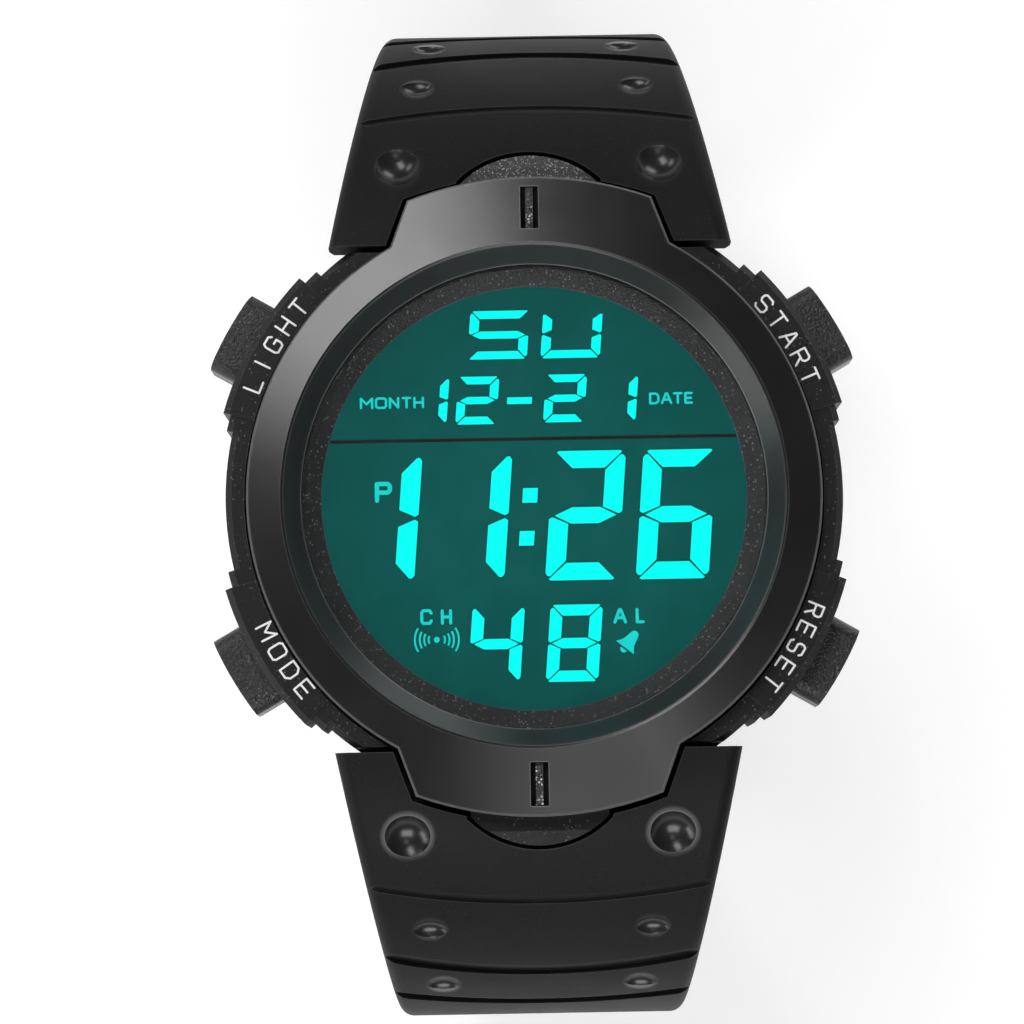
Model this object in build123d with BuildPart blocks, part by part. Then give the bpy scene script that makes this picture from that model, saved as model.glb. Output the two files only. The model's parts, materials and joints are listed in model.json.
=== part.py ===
"""Digital wristwatch with a round bezel, four side buttons and a curled resin strap.

Millimetres. +Z points out of the display, +Y to 12 o'clock, +X to 3 o'clock.
The origin is the centre of the case back's flat outer face.
"""
import os
from math import acos, asin, cos, degrees, hypot, radians, sin

from build123d import *

os.makedirs("parts", exist_ok=True)

# Case ring
case_radius = 25.0
case_bottom = 0.6
case_lip_top = 13.0
case_lip_width = 1.8
case_edge_chamfer = 0.5
case_foot_chamfer = 1.2
bezel_seat_depth = 1.4

# Guards round the buttons
guard_stand = 1.1
guard_step_stand = 0.5
guard_arc = 28.0
guard_step_arc = 34.0
guard_bottom = 2.6
guard_rise = 0.15

# Bezel
bezel_gap = 0.25
bezel_top = 15.0
bezel_face_width = 2.9
bezel_bevel_width = 1.45
bezel_bevel_depth = 1.8
bezel_fall = 0.138
bezel_edge = 0.15
ear_base_x = 11.3
ear_corner_x = 9.9
ear_corner_stand = 0.9
ear_stand = 2.7
ear_seat_inset = 0.45
slot_width = 1.45
slot_length = 3.5
slot_depth = 0.9
slot_shift = 0.1
index_bar_width = 0.6
index_bar_height = 0.5

# Shared clearances: between fixed neighbours, and how far cutters and joined profiles run past a face
fit_gap = 0.05
overrun = 1.0

# Window and display
crystal_ledge = 0.7
crystal_thickness = 1.45
gasket_height = 0.5
display_drop = 0.9
display_gap = 0.3
display_thickness = 1.0
display_border = 1.3
ring_edge = 0.2

# Module: frame, board and what is on it
backlight_thickness = 0.9
frame_gap = 1.3
frame_wall = 1.2
frame_bottom = 3.2
frame_floor = 0.9
strip_length = 11.0
strip_width = 1.2
strip_inset = 2.2
strip_gap = 0.1
board_sides = 8
board_gap = 0.3
board_thickness = 1.0
chip_size = 7.0
chip_height = 0.7
chip_gap = 0.1
chip_room = 0.5
part_spacing = 1.0
quartz_radius = 0.9
quartz_length = 5.0
battery_inset = 6.1
battery_thickness = 2.5
clip_strip_width = 5.0
clip_thickness = 0.25
insulator_thickness = 0.2
buzzer_inset = 7.1
buzzer_thickness = 0.4
buzzer_y = 5.0
buzzer_spring_radius = 0.8
buzzer_wire = 0.25
buzzer_spring_inset = 4.1
buzzer_turns = 2

# Case back
back_inset = 4.4
back_thickness = 1.6
back_chamfer = 0.4
lobe_radius = 1.9
lobe_inset = 3.7
lobe_angle = 45.0
back_gasket_ledge = 0.35
back_gasket_width = 0.7
back_gasket_height = 0.6
screw_radius = 0.6
screw_head_radius = 1.1
screw_head_height = 0.6
screw_length = 3.6

# Buttons: name and the direction that each points in, in degrees from +X
buttons = {"start": 30.0, "light": 150.0, "mode": 210.0, "reset": 330.0}
button_height = 7.5
cap_width = 7.0
cap_height = 5.6
cap_corner = 1.1
cap_stand = 2.5
cap_clearance = 0.25
cap_travel = 0.9
travel_spare = 0.1
pocket_depth = 1.6
spring_pocket_radius = 2.0
spring_pocket_depth = 2.0
stem_radius = 1.0
stem_clearance = 0.06
stem_overlap = 0.8
spring_radius = 1.55
spring_wire = 0.32
spring_turns = 2
seal_wall = 0.5
seal_length = 0.7
seal_groove_radius = 0.65
clip_radius = 1.7
clip_gap = 0.15
clip_height = 0.3
clip_groove_radius = 0.7
contact_width = 3.6
contact_height = 3.0
contact_thickness = 0.2
contact_foot = 2.5
contact_notch = 4.2

# Strap: side view. The outer surface of both halves is an arc about one centre
curl_inset = 8.5
curl_radius = 26.0
strap_crown = 14.0
strap_thickness = 3.4
shoulder_inset = 4.5
block_bottom = 3.4
pin_stand = 1.0
pin_z = 7.0
knuckle_radius = 2.9
heel_gap = 0.1
heel_wall = 0.25
swing = 3.0
shoulder_drop = 4.4
long_drop = 20.0
long_bend = 30.0
tail_thickness = 3.0
tail_end = -22.0
tail_corner = 7.0
short_turn = 12.0
short_run = 30.0

# Strap: half widths
shoulder_half_width = 16.4
front_top_half_width = 17.2
side_half_width = 11.95
tail_half_width = 10.4
taper_drop = 8.4
taper_blend = 14.0
short_taper_lag = 0.5
rim_round = 1.2

# Strap: lug slots, notch for the ear and the nose
tongue_half_width = 8.5
lug_slot_outer = 11.5
notch_gap = 0.45
nose_half_width = 5.9
nose_root_stand = 0.95
nose_stand = 3.5
nose_gap = 0.33
nose_thickness = 1.4
lug_clearance = 0.3
lug_radius = 2.2
swing_spare = 0.08
seat_spare = 0.3
nose_trim_start = 20.0
nose_trim_end = 40.0

# Strap: steps and dimples. Places are angles round the curl, at a step's ends and at its middle, and
# distances from the centre line; a step's surface falls over its run by its depth, then stands up again
steps = [(34.0, 39.0, 0.8, 0.25), (50.5, 59.0, 1.5, 0.52), (64.0, 73.0, 1.5, 0.52)]
big_dimples = [(24.5, 10.7)]
small_dimples = [(44.8, 9.1), (62.0, 8.2)]
big_dimple_radius = 1.85
big_dimple_depth = 0.9
small_dimple_radius = 1.0
small_dimple_depth = 0.55
small_dimple_stretch = 1.45

# Strap: adjusting holes in two rows
hole_row = 4.0
hole_radius = 1.0
hole_pitch = 6.5
flat_holes = 5
first_hole = 12.0
bend_holes = 3

# Pins
lug_pin_radius = 0.9
lug_pin_tip_radius = 0.5
lug_pin_tip = 1.7
pin_clearance = 0.05
buckle_pin_radius = 0.75

# Buckle
fork_gap_half = 5.3
fork_depth = 9.0
fork_radius = 2.1
side_gap = 0.3
buckle_arm = 2.4
buckle_thickness = 2.4
buckle_eye_radius = 1.9
buckle_reach = 13.2
crossbar = 2.4
buckle_corner = 2.5
buckle_edge = 0.4
eye_wall = 0.4
prong_width = 1.8
prong_thickness = 1.2
prong_bend = 6.0
barrel_radius = 1.7
prong_overhang = 0.3
prong_gap = 0.1
barrel_gap = 0.15

# Keepers
keeper_room = 3.8
keeper_wall = 1.5
keeper_clearance = 0.25
keeper_side_clearance = 0.4
fixed_keeper_start = 10.0
fixed_keeper_length = 4.0
free_keeper_length = 4.2
keeper_stop_gap = 0.2
keeper_corner = 1.6

# Derived: rings of the case and the bezel
guard_radius = case_radius + guard_stand
guard_step_radius = case_radius + guard_step_stand
bezel_radius = case_radius - case_lip_width
bezel_seat = case_lip_top - bezel_seat_depth
bezel_face_inner = bezel_radius - bezel_face_width
bezel_window = bezel_face_inner - bezel_bevel_width
seat_recess = bezel_radius + bezel_gap
chamber_radius = bezel_window + fit_gap
ear_corner_y = bezel_radius + ear_corner_stand
ear_reach = bezel_radius + ear_stand
ear_base_y = (bezel_radius**2 - ear_base_x**2) ** 0.5
slot_place = bezel_radius + slot_shift
slot_floor = bezel_top - bezel_fall * (slot_place - bezel_face_inner) - slot_depth

# Derived: window, display and module
crystal_radius = chamber_radius + crystal_ledge
crystal_top = bezel_top - bezel_bevel_depth - fit_gap
crystal_bottom = crystal_top - crystal_thickness
display_top = crystal_bottom - display_drop
display_bottom = display_top - display_thickness
display_radius = chamber_radius - display_gap
display_window = display_radius - display_border
backlight_bottom = display_bottom - backlight_thickness - fit_gap
floor_bottom = backlight_bottom - frame_floor
board_top = floor_bottom - chip_height - chip_gap
board_bottom = board_top - board_thickness
frame_radius = chamber_radius - frame_gap
frame_bore = frame_radius - frame_wall
strip_place = frame_bore - strip_inset
backlight_flat = strip_place - strip_width / 2 - 2 * strip_gap
backlight_radius = frame_bore - board_gap
board_radius = frame_bore - board_gap
board_turn = 180 / board_sides
battery_radius = board_radius - battery_inset
battery_y = (battery_radius - board_radius) / 2
back_top = back_thickness
back_radius = case_radius - back_inset
back_gasket_inner = chamber_radius + back_gasket_ledge
lobe_place = case_radius - lobe_inset
buzzer_top = back_top + buzzer_thickness
buzzer_radius = board_radius - buzzer_inset
buzzer_spring_y = board_radius - buzzer_spring_inset
insulator_bottom = buzzer_top + fit_gap
battery_bottom = insulator_bottom + insulator_thickness + fit_gap
battery_top = battery_bottom + battery_thickness

# Derived: places along a button's axis
cap_reach = guard_radius + cap_stand
pocket_floor = case_radius - pocket_depth
cap_inner = pocket_floor + cap_travel + travel_spare
spring_seat = pocket_floor - spring_pocket_depth
seal_place = spring_seat - seal_wall - seal_length
clip_place = chamber_radius - clip_gap - clip_height
stem_end = chamber_radius - stem_overlap
contact_place = stem_end - cap_travel - travel_spare

# Derived: strap
curl_y = case_radius - curl_inset
curl_z = strap_crown - curl_radius
curl_inner = curl_radius - strap_thickness
shoulder_end = case_radius - shoulder_inset
pin_y = case_radius + pin_stand
heel_y = pin_y - knuckle_radius - heel_wall
shoulder_top = curl_z + (curl_radius**2 - (shoulder_end - curl_y) ** 2) ** 0.5
seat_wall_gap = (shoulder_top - pin_z) * sin(radians(swing)) + swing_spare
seat_drop = (pin_y - shoulder_end) * sin(radians(swing)) + seat_spare
seat_floor = case_lip_top - shoulder_drop
seat_half_width = shoulder_half_width + overrun
wing_bottom = seat_floor + seat_drop
notch_floor = pin_z + knuckle_radius
pocket_wall = heel_y - heel_gap
lug_inner = tongue_half_width + lug_clearance
lug_outer = lug_slot_outer - lug_clearance
nose_root_y = case_radius + nose_root_stand
nose_reach = case_radius + nose_stand
nose_trim_radius = curl_radius - nose_gap / 2
taper_end_z = curl_z - taper_drop
far_out = 2 * case_radius


def curl_point(radius, angle):
    """Point of the strap's side view at an angle from straight up round the curl's centre."""
    return (curl_y + radius * sin(radians(angle)), curl_z + radius * cos(radians(angle)))


def curl_arc(radius, start, end):
    """Arc round the curl's centre, drawn into the open line context."""
    middle = curl_point(radius, (start + end) / 2)
    return ThreePointArc(curl_point(radius, start), middle, curl_point(radius, end))


def side_plane(side, x=0.0):
    """Side view of one strap half: local x is the distance from the centre, local y the height."""
    return Plane(origin=(x, 0, 0), x_dir=(0, side, 0), z_dir=(side, 0, 0))


def surface_plane(side, angle, radius):
    """Plane lying on the strap's curl: local y runs down the strap, the normal points out."""
    d, z = curl_point(radius, angle)
    normal = (0, side * sin(radians(angle)), cos(radians(angle)))
    return Plane(origin=(0, side * d, z), x_dir=(side, 0, 0), z_dir=normal)


def button_plane(angle, radius):
    """Plane square to a button's axis: local y is up and the normal points outwards."""
    a = radians(angle)
    out = (cos(a), sin(a), 0)
    origin = (radius * out[0], radius * out[1], button_height)
    return Plane(origin=origin, x_dir=(-sin(a), cos(a), 0), z_dir=out)


def radial_plane(angle):
    """Upright half plane through the watch's axis: local x is the radius, local y the height."""
    a = radians(angle)
    return Plane(origin=(0, 0, 0), x_dir=(cos(a), sin(a), 0), z_dir=(sin(a), -cos(a), 0))


def ear_outline(side, inner_y, grow):
    """Outline of a bezel ear seen from above, closed inwards by an arc and grown by a margin."""
    with BuildSketch() as outline:
        with BuildLine():
            Line((ear_corner_x, side * ear_corner_y), (ear_base_x, side * ear_base_y))
            ThreePointArc((ear_base_x, side * ear_base_y), (0, side * inner_y),
                          (-ear_base_x, side * ear_base_y))
            Line((-ear_base_x, side * ear_base_y), (-ear_corner_x, side * ear_corner_y))
            ThreePointArc((-ear_corner_x, side * ear_corner_y), (0, side * ear_reach),
                          (ear_corner_x, side * ear_corner_y))
        make_face()
        if grow:
            offset(amount=grow, kind=Kind.INTERSECTION)
    return outline.sketch


def nose_outline(side, gap):
    """Outline of the case's nose under the ear, reaching the notch's edge less a gap."""
    with BuildSketch() as outline:
        with BuildLine():
            Polyline((nose_half_width, side * nose_root_y), (nose_half_width, side * ear_base_y),
                     (-nose_half_width, side * ear_base_y), (-nose_half_width, side * nose_root_y))
            ThreePointArc((-nose_half_width, side * nose_root_y), (0, side * nose_reach),
                          (nose_half_width, side * nose_root_y))
        make_face()
        if gap:
            offset(amount=-gap, kind=Kind.INTERSECTION)
    return outline.sketch


def save(part, name):
    """Label a finished piece and write it."""
    part.label = name
    export_step(part, f"parts/{name}.step")


# Case: ring, guards, seats for the strap's ends, lugs, chamber and button bores
with BuildPart() as case_body:
    with BuildSketch(Plane.XZ):
        with BuildLine():
            Polyline((chamber_radius, case_bottom), (case_radius - case_foot_chamfer, case_bottom),
                     (case_radius, case_bottom + 2 * case_foot_chamfer),
                     (case_radius, case_lip_top - case_edge_chamfer),
                     (case_radius - case_edge_chamfer, case_lip_top),
                     (seat_recess, case_lip_top), (seat_recess, bezel_seat),
                     (chamber_radius, bezel_seat), close=True)
        make_face()
    revolve(axis=Axis.Z)
    for angle in buttons.values():
        for reach, arc, rise in ((guard_radius, guard_arc, guard_rise),
                                 (guard_step_radius, guard_step_arc, 0)):
            with BuildSketch(radial_plane(angle - arc / 2)):
                with BuildLine():
                    Polyline((seat_recess, guard_bottom), (reach - case_edge_chamfer, guard_bottom),
                             (reach, guard_bottom + case_edge_chamfer),
                             (reach, case_lip_top + rise - case_edge_chamfer),
                             (reach - case_edge_chamfer, case_lip_top + rise),
                             (seat_recess, case_lip_top + rise), close=True)
                make_face()
            revolve(axis=Axis.Z, revolution_arc=arc)
    for side in (1, -1):
        with BuildSketch(Plane.XY.offset(seat_floor)):
            with Locations((0, side * (shoulder_end - seat_wall_gap + far_out / 2))):
                Rectangle(2 * seat_half_width, far_out)
        extrude(amount=far_out, mode=Mode.SUBTRACT)
        with BuildSketch(Plane.XY.offset(seat_floor)):
            add(ear_outline(side, chamber_radius + overrun / 2, -ear_seat_inset))
        extrude(amount=bezel_seat - seat_floor)
        with BuildSketch(Plane.XY.offset(bezel_seat - nose_thickness)):
            add(nose_outline(side, nose_gap))
        extrude(amount=nose_thickness)
        for x in (lug_inner, -lug_outer):
            with BuildSketch(side_plane(side, x if side > 0 else x + lug_outer - lug_inner)):
                with BuildLine():
                    Polyline((pin_y, pin_z - lug_radius), (chamber_radius, pin_z - lug_radius),
                             (chamber_radius, pin_z + lug_radius), (pin_y, pin_z + lug_radius))
                    ThreePointArc((pin_y, pin_z + lug_radius), (pin_y + lug_radius, pin_z),
                                  (pin_y, pin_z - lug_radius))
                make_face()
            extrude(amount=lug_outer - lug_inner)
        with BuildSketch(Plane.XY):
            with Locations((0, side * (pocket_wall + far_out / 2))):
                Rectangle(2 * lug_inner, far_out)
        extrude(amount=bezel_seat - nose_thickness, mode=Mode.SUBTRACT)
        with BuildSketch(side_plane(side)):
            with BuildLine():
                trim_start = curl_point(nose_trim_radius, nose_trim_start)
                Polyline(trim_start, (trim_start[0], far_out), (far_out, far_out), (far_out, 0),
                         curl_point(nose_trim_radius, nose_trim_end))
                curl_arc(nose_trim_radius, nose_trim_end, nose_trim_start)
            make_face()
        extrude(amount=nose_half_width, both=True, mode=Mode.SUBTRACT)
        with BuildSketch(side_plane(side)):
            with Locations((pin_y, pin_z)):
                Circle(lug_pin_tip_radius + pin_clearance)
        extrude(amount=lug_inner + lug_pin_tip, both=True, mode=Mode.SUBTRACT)
    with BuildSketch(Plane.XY):
        Circle(chamber_radius)
    extrude(amount=far_out, mode=Mode.SUBTRACT)
    with BuildSketch(Plane.XY.offset(crystal_bottom - gasket_height)):
        Circle(crystal_radius + fit_gap)
    extrude(amount=far_out, mode=Mode.SUBTRACT)
    with BuildSketch(Plane.XY):
        Circle(back_radius + fit_gap)
        with PolarLocations(lobe_place, 4, start_angle=lobe_angle):
            Circle(lobe_radius + fit_gap)
    extrude(amount=back_top, mode=Mode.SUBTRACT)
    with BuildSketch(Plane.XY.offset(back_top)):
        Circle(back_gasket_inner + back_gasket_width)
        Circle(back_gasket_inner, mode=Mode.SUBTRACT)
    extrude(amount=back_gasket_height, mode=Mode.SUBTRACT)
    with BuildSketch(Plane.XY):
        with PolarLocations(lobe_place, 4, start_angle=lobe_angle):
            Circle(screw_radius)
    extrude(amount=screw_head_height + screw_length, mode=Mode.SUBTRACT)
    for angle in buttons.values():
        with BuildSketch(button_plane(angle, pocket_floor)):
            RectangleRounded(cap_width + 2 * cap_clearance, cap_height + 2 * cap_clearance,
                             cap_corner + cap_clearance)
        extrude(amount=far_out, mode=Mode.SUBTRACT)
        with BuildSketch(button_plane(angle, spring_seat)):
            Circle(spring_pocket_radius)
        extrude(amount=pocket_floor - spring_seat, mode=Mode.SUBTRACT)
        with BuildSketch(button_plane(angle, chamber_radius - overrun)):
            Circle(stem_radius + stem_clearance)
        extrude(amount=spring_seat - chamber_radius + overrun, mode=Mode.SUBTRACT)
save(case_body.part, "case_body")

# Bezel: ring with a bevelled window and a falling face, one ear at each end, slots for the index bars
with BuildPart() as bezel:
    with BuildSketch(Plane.XZ):
        with BuildLine():
            Polyline((bezel_window, crystal_top + fit_gap), (bezel_face_inner, bezel_top),
                     (bezel_radius, bezel_top), (bezel_radius, bezel_seat + fit_gap),
                     (crystal_radius + bezel_gap, bezel_seat + fit_gap),
                     (crystal_radius + bezel_gap, crystal_top + fit_gap), close=True)
        make_face()
    revolve(axis=Axis.Z)
    for side in (1, -1):
        with BuildSketch(Plane.XY.offset(bezel_seat + fit_gap)):
            add(ear_outline(side, (ear_base_y + bezel_radius) / 2, 0))
        extrude(amount=bezel_top - bezel_seat - fit_gap)
    with BuildSketch(Plane.XZ):
        with BuildLine():
            outer_drop = bezel_fall * (far_out - bezel_face_inner)
            Polyline((bezel_face_inner, bezel_top), (far_out, bezel_top - outer_drop),
                     (far_out, far_out), (bezel_face_inner, far_out), close=True)
        make_face()
    revolve(axis=Axis.Z, mode=Mode.SUBTRACT)
    chamfer(bezel.faces().sort_by(Axis.Z)[-1].edges(), length=bezel_edge)
    with BuildSketch(Plane.XY.offset(slot_floor)):
        with Locations((0, slot_place), (0, -slot_place)):
            Rectangle(slot_width, slot_length)
    extrude(amount=far_out, mode=Mode.SUBTRACT)
save(bezel.part, "bezel")

with BuildPart() as index_bars:
    with BuildSketch(Plane.XY.offset(slot_floor)):
        with Locations((0, slot_place), (0, -slot_place)):
            Rectangle(index_bar_width, slot_length - 2 * fit_gap)
    extrude(amount=index_bar_height)
save(index_bars.part, "index_bars")

# Window, its gasket and the grainy ring under it
with BuildPart() as crystal:
    with BuildSketch(Plane.XY.offset(crystal_bottom)):
        Circle(crystal_radius)
    extrude(amount=crystal_thickness)
save(crystal.part, "crystal")

with BuildPart() as crystal_gasket:
    with BuildSketch(Plane.XY.offset(crystal_bottom - gasket_height)):
        Circle(crystal_radius)
        Circle(chamber_radius, mode=Mode.SUBTRACT)
    extrude(amount=gasket_height)
save(crystal_gasket.part, "crystal_gasket")

with BuildPart() as inner_ring:
    with BuildSketch(Plane.XZ):
        with BuildLine():
            Polyline((display_window, display_top + fit_gap),
                     (chamber_radius - fit_gap, display_top + fit_gap),
                     (chamber_radius - fit_gap, crystal_bottom - fit_gap),
                     (chamber_radius - ring_edge, crystal_bottom - fit_gap),
                     (display_window, display_top + 2 * fit_gap), close=True)
        make_face()
    revolve(axis=Axis.Z)
save(inner_ring.part, "inner_ring")

# Module: display, backlight, frame, board and what is on it
with BuildPart() as lcd_panel:
    with BuildSketch(Plane.XY.offset(display_bottom)):
        Circle(display_radius)
    extrude(amount=display_thickness)
save(lcd_panel.part, "lcd_panel")

with BuildPart() as backlight_panel:
    with BuildSketch(Plane.XY.offset(display_bottom - backlight_thickness)):
        Circle(backlight_radius)
        Rectangle(2 * backlight_radius, 2 * backlight_flat, mode=Mode.INTERSECT)
    extrude(amount=backlight_thickness)
save(backlight_panel.part, "backlight_panel")

with BuildPart() as module_frame:
    with BuildSketch(Plane.XY.offset(frame_bottom)):
        Circle(frame_radius)
    extrude(amount=display_bottom - frame_bottom)
    with BuildSketch(Plane.XY.offset(floor_bottom + frame_floor)):
        Circle(frame_bore)
    extrude(amount=far_out, mode=Mode.SUBTRACT)
    with BuildSketch(Plane.XY.offset(frame_bottom)):
        RegularPolygon(frame_bore, board_sides, rotation=board_turn)
    extrude(amount=floor_bottom - frame_bottom, mode=Mode.SUBTRACT)
    with BuildSketch(Plane.XY.offset(floor_bottom)):
        with Locations((0, strip_place), (0, -strip_place)):
            Rectangle(strip_length + 2 * strip_gap, strip_width + 2 * strip_gap)
        Rectangle(chip_size + 2 * chip_room, chip_size + 2 * chip_room)
    extrude(amount=far_out, mode=Mode.SUBTRACT)
    for angle in buttons.values():
        with BuildSketch(button_plane(angle, contact_place - contact_foot)):
            Rectangle(contact_notch, contact_notch)
        extrude(amount=far_out, mode=Mode.SUBTRACT)
save(module_frame.part, "module_frame")

with BuildPart() as zebra_strips:
    with BuildSketch(Plane.XY.offset(board_top)):
        with Locations((0, strip_place), (0, -strip_place)):
            Rectangle(strip_length, strip_width)
    extrude(amount=display_bottom - board_top)
save(zebra_strips.part, "zebra_strips")

with BuildPart() as circuit_board:
    with BuildSketch(Plane.XY.offset(board_bottom)):
        RegularPolygon(board_radius, board_sides, rotation=board_turn)
    extrude(amount=board_thickness)
save(circuit_board.part, "circuit_board")

with BuildPart() as controller_chip:
    with BuildSketch(Plane.XY.offset(board_top)):
        Rectangle(chip_size, chip_size)
    extrude(amount=chip_height)
save(controller_chip.part, "controller_chip")

quartz_y = battery_y + battery_radius + quartz_radius + part_spacing
with BuildPart() as quartz_can:
    with BuildSketch(Plane.YZ.offset(quartz_radius + buzzer_spring_radius + part_spacing)):
        with Locations((quartz_y, board_bottom - quartz_radius)):
            Circle(quartz_radius)
    extrude(amount=quartz_length)
save(quartz_can.part, "quartz_can")

with BuildPart() as side_contacts:
    for angle in buttons.values():
        with BuildSketch(button_plane(angle, contact_place - contact_thickness)):
            Rectangle(contact_width, contact_height)
        extrude(amount=contact_thickness)
        with BuildSketch(button_plane(angle, contact_place - contact_foot)):
            with Locations((0, board_top - button_height + contact_thickness / 2)):
                Rectangle(contact_width, contact_thickness)
        extrude(amount=contact_foot)
save(side_contacts.part, "side_contacts")

with BuildPart() as battery:
    with BuildSketch(Plane.XY.offset(battery_bottom)):
        with Locations((0, battery_y)):
            Circle(battery_radius)
    extrude(amount=battery_thickness)
save(battery.part, "battery")

with BuildPart() as battery_clip:
    with BuildSketch(Plane.XY.offset(battery_top)):
        with Locations((0, battery_y)):
            Rectangle(2 * battery_radius + 2 * clip_thickness, clip_strip_width)
    extrude(amount=clip_thickness)
    with BuildSketch(Plane.XY.offset(battery_bottom)):
        with Locations((battery_radius + clip_thickness / 2, battery_y),
                       (-battery_radius - clip_thickness / 2, battery_y)):
            Rectangle(clip_thickness, clip_strip_width)
    extrude(amount=battery_thickness)
save(battery_clip.part, "battery_clip")

with BuildPart() as insulator:
    with BuildSketch(Plane.XY.offset(insulator_bottom)):
        RegularPolygon(board_radius, board_sides, rotation=board_turn)
        with Locations((0, buzzer_spring_y)):
            Circle(buzzer_spring_radius + buzzer_wire, mode=Mode.SUBTRACT)
    extrude(amount=insulator_thickness)
save(insulator.part, "insulator")

with BuildPart() as piezo_buzzer:
    with BuildSketch(Plane.XY.offset(back_top)):
        with Locations((0, buzzer_y)):
            Circle(buzzer_radius)
    extrude(amount=buzzer_thickness)
save(piezo_buzzer.part, "piezo_buzzer")

spring_base = buzzer_top + buzzer_wire / 2
spring_rise = board_bottom - buzzer_top - buzzer_wire
with BuildPart() as buzzer_spring:
    with BuildLine() as buzzer_coil:
        Helix(pitch=spring_rise / buzzer_turns, height=spring_rise, radius=buzzer_spring_radius,
              center=(0, buzzer_spring_y, spring_base))
    with BuildSketch(Plane(origin=buzzer_coil.line @ 0, z_dir=buzzer_coil.line % 0)):
        Rectangle(buzzer_wire, buzzer_wire)
    sweep(is_frenet=True)
save(buzzer_spring.part, "buzzer_spring")

# Case back with four lobes for its screws
with BuildPart() as case_back:
    with BuildSketch(Plane.XY):
        Circle(back_radius)
        with PolarLocations(lobe_place, 4, start_angle=lobe_angle):
            Circle(lobe_radius)
    extrude(amount=back_thickness)
    chamfer(case_back.faces().sort_by(Axis.Z)[0].edges(), length=back_chamfer)
    with BuildSketch(Plane.XY):
        with PolarLocations(lobe_place, 4, start_angle=lobe_angle):
            Circle(screw_radius + fit_gap)
    extrude(amount=back_thickness, mode=Mode.SUBTRACT)
    with BuildSketch(Plane.XY):
        with PolarLocations(lobe_place, 4, start_angle=lobe_angle):
            Circle(screw_head_radius + fit_gap)
    extrude(amount=screw_head_height, mode=Mode.SUBTRACT)
save(case_back.part, "case_back")

with BuildPart() as case_back_gasket:
    with BuildSketch(Plane.XY.offset(back_top)):
        Circle(back_gasket_inner + back_gasket_width - fit_gap)
        Circle(back_gasket_inner + fit_gap, mode=Mode.SUBTRACT)
    extrude(amount=back_gasket_height)
save(case_back_gasket.part, "case_back_gasket")

with BuildPart() as case_back_screws:
    with BuildSketch(Plane.XY.offset(fit_gap)):
        with PolarLocations(lobe_place, 4, start_angle=lobe_angle):
            Circle(screw_head_radius)
    extrude(amount=screw_head_height - fit_gap)
    with BuildSketch(Plane.XY.offset(screw_head_height)):
        with PolarLocations(lobe_place, 4, start_angle=lobe_angle):
            Circle(screw_radius)
    extrude(amount=screw_length)
save(case_back_screws.part, "case_back_screws")

# Buttons: cap and stem in one, with a return spring, a seal and a retaining clip on each
for name, angle in buttons.items():
    with BuildPart() as pusher:
        with BuildSketch(button_plane(angle, cap_inner)):
            RectangleRounded(cap_width, cap_height, cap_corner)
        extrude(amount=cap_reach - cap_inner)
        with BuildSketch(Plane.XY.offset(button_height - cap_height)):
            Circle(far_out)
            Circle(cap_reach, mode=Mode.SUBTRACT)
        extrude(amount=2 * cap_height, mode=Mode.SUBTRACT)
        with BuildSketch(button_plane(angle, stem_end)):
            Circle(stem_radius)
        extrude(amount=cap_inner - stem_end)
        for place, length, core in ((seal_place, seal_length, seal_groove_radius),
                                    (clip_place, clip_height, clip_groove_radius)):
            with BuildSketch(button_plane(angle, place)):
                Circle(2 * stem_radius)
                Circle(core, mode=Mode.SUBTRACT)
            extrude(amount=length, mode=Mode.SUBTRACT)
    save(pusher.part, f"pusher_{name}")

    with BuildPart() as seal:
        with BuildSketch(button_plane(angle, seal_place)):
            Circle(stem_radius + stem_clearance / 2)
            Circle(seal_groove_radius, mode=Mode.SUBTRACT)
        extrude(amount=seal_length)
    save(seal.part, f"pusher_seal_{name}")

    with BuildPart() as clip:
        with BuildSketch(button_plane(angle, clip_place)):
            Circle(clip_radius)
            Circle(clip_groove_radius, mode=Mode.SUBTRACT)
            with Locations((0, -clip_radius)):
                Rectangle(2 * clip_groove_radius, 2 * clip_radius, mode=Mode.SUBTRACT)
        extrude(amount=clip_height)
    save(clip.part, f"pusher_clip_{name}")

    coil_height = cap_inner - spring_seat - spring_wire
    foot = button_plane(angle, spring_seat + spring_wire / 2)
    with BuildPart() as spring:
        with BuildLine() as coil:
            Helix(pitch=coil_height / spring_turns, height=coil_height, radius=spring_radius,
                  center=foot.origin, direction=foot.z_dir)
        with BuildSketch(Plane(origin=coil.line @ 0, z_dir=coil.line % 0)):
            Rectangle(spring_wire, spring_wire)
        sweep(is_frenet=True)
    save(spring.part, f"pusher_spring_{name}")


def strap_profile_start(bottom_angle):
    """Corner points of the end block, from the curl's inner arc round to the outer arc's start."""
    shoulder_angle = degrees(asin((shoulder_end - curl_y) / curl_radius))
    points = [curl_point(curl_inner, bottom_angle), (heel_y, block_bottom), (heel_y, wing_bottom),
              (shoulder_end, wing_bottom), curl_point(curl_radius, shoulder_angle)]
    return points, shoulder_angle


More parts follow.
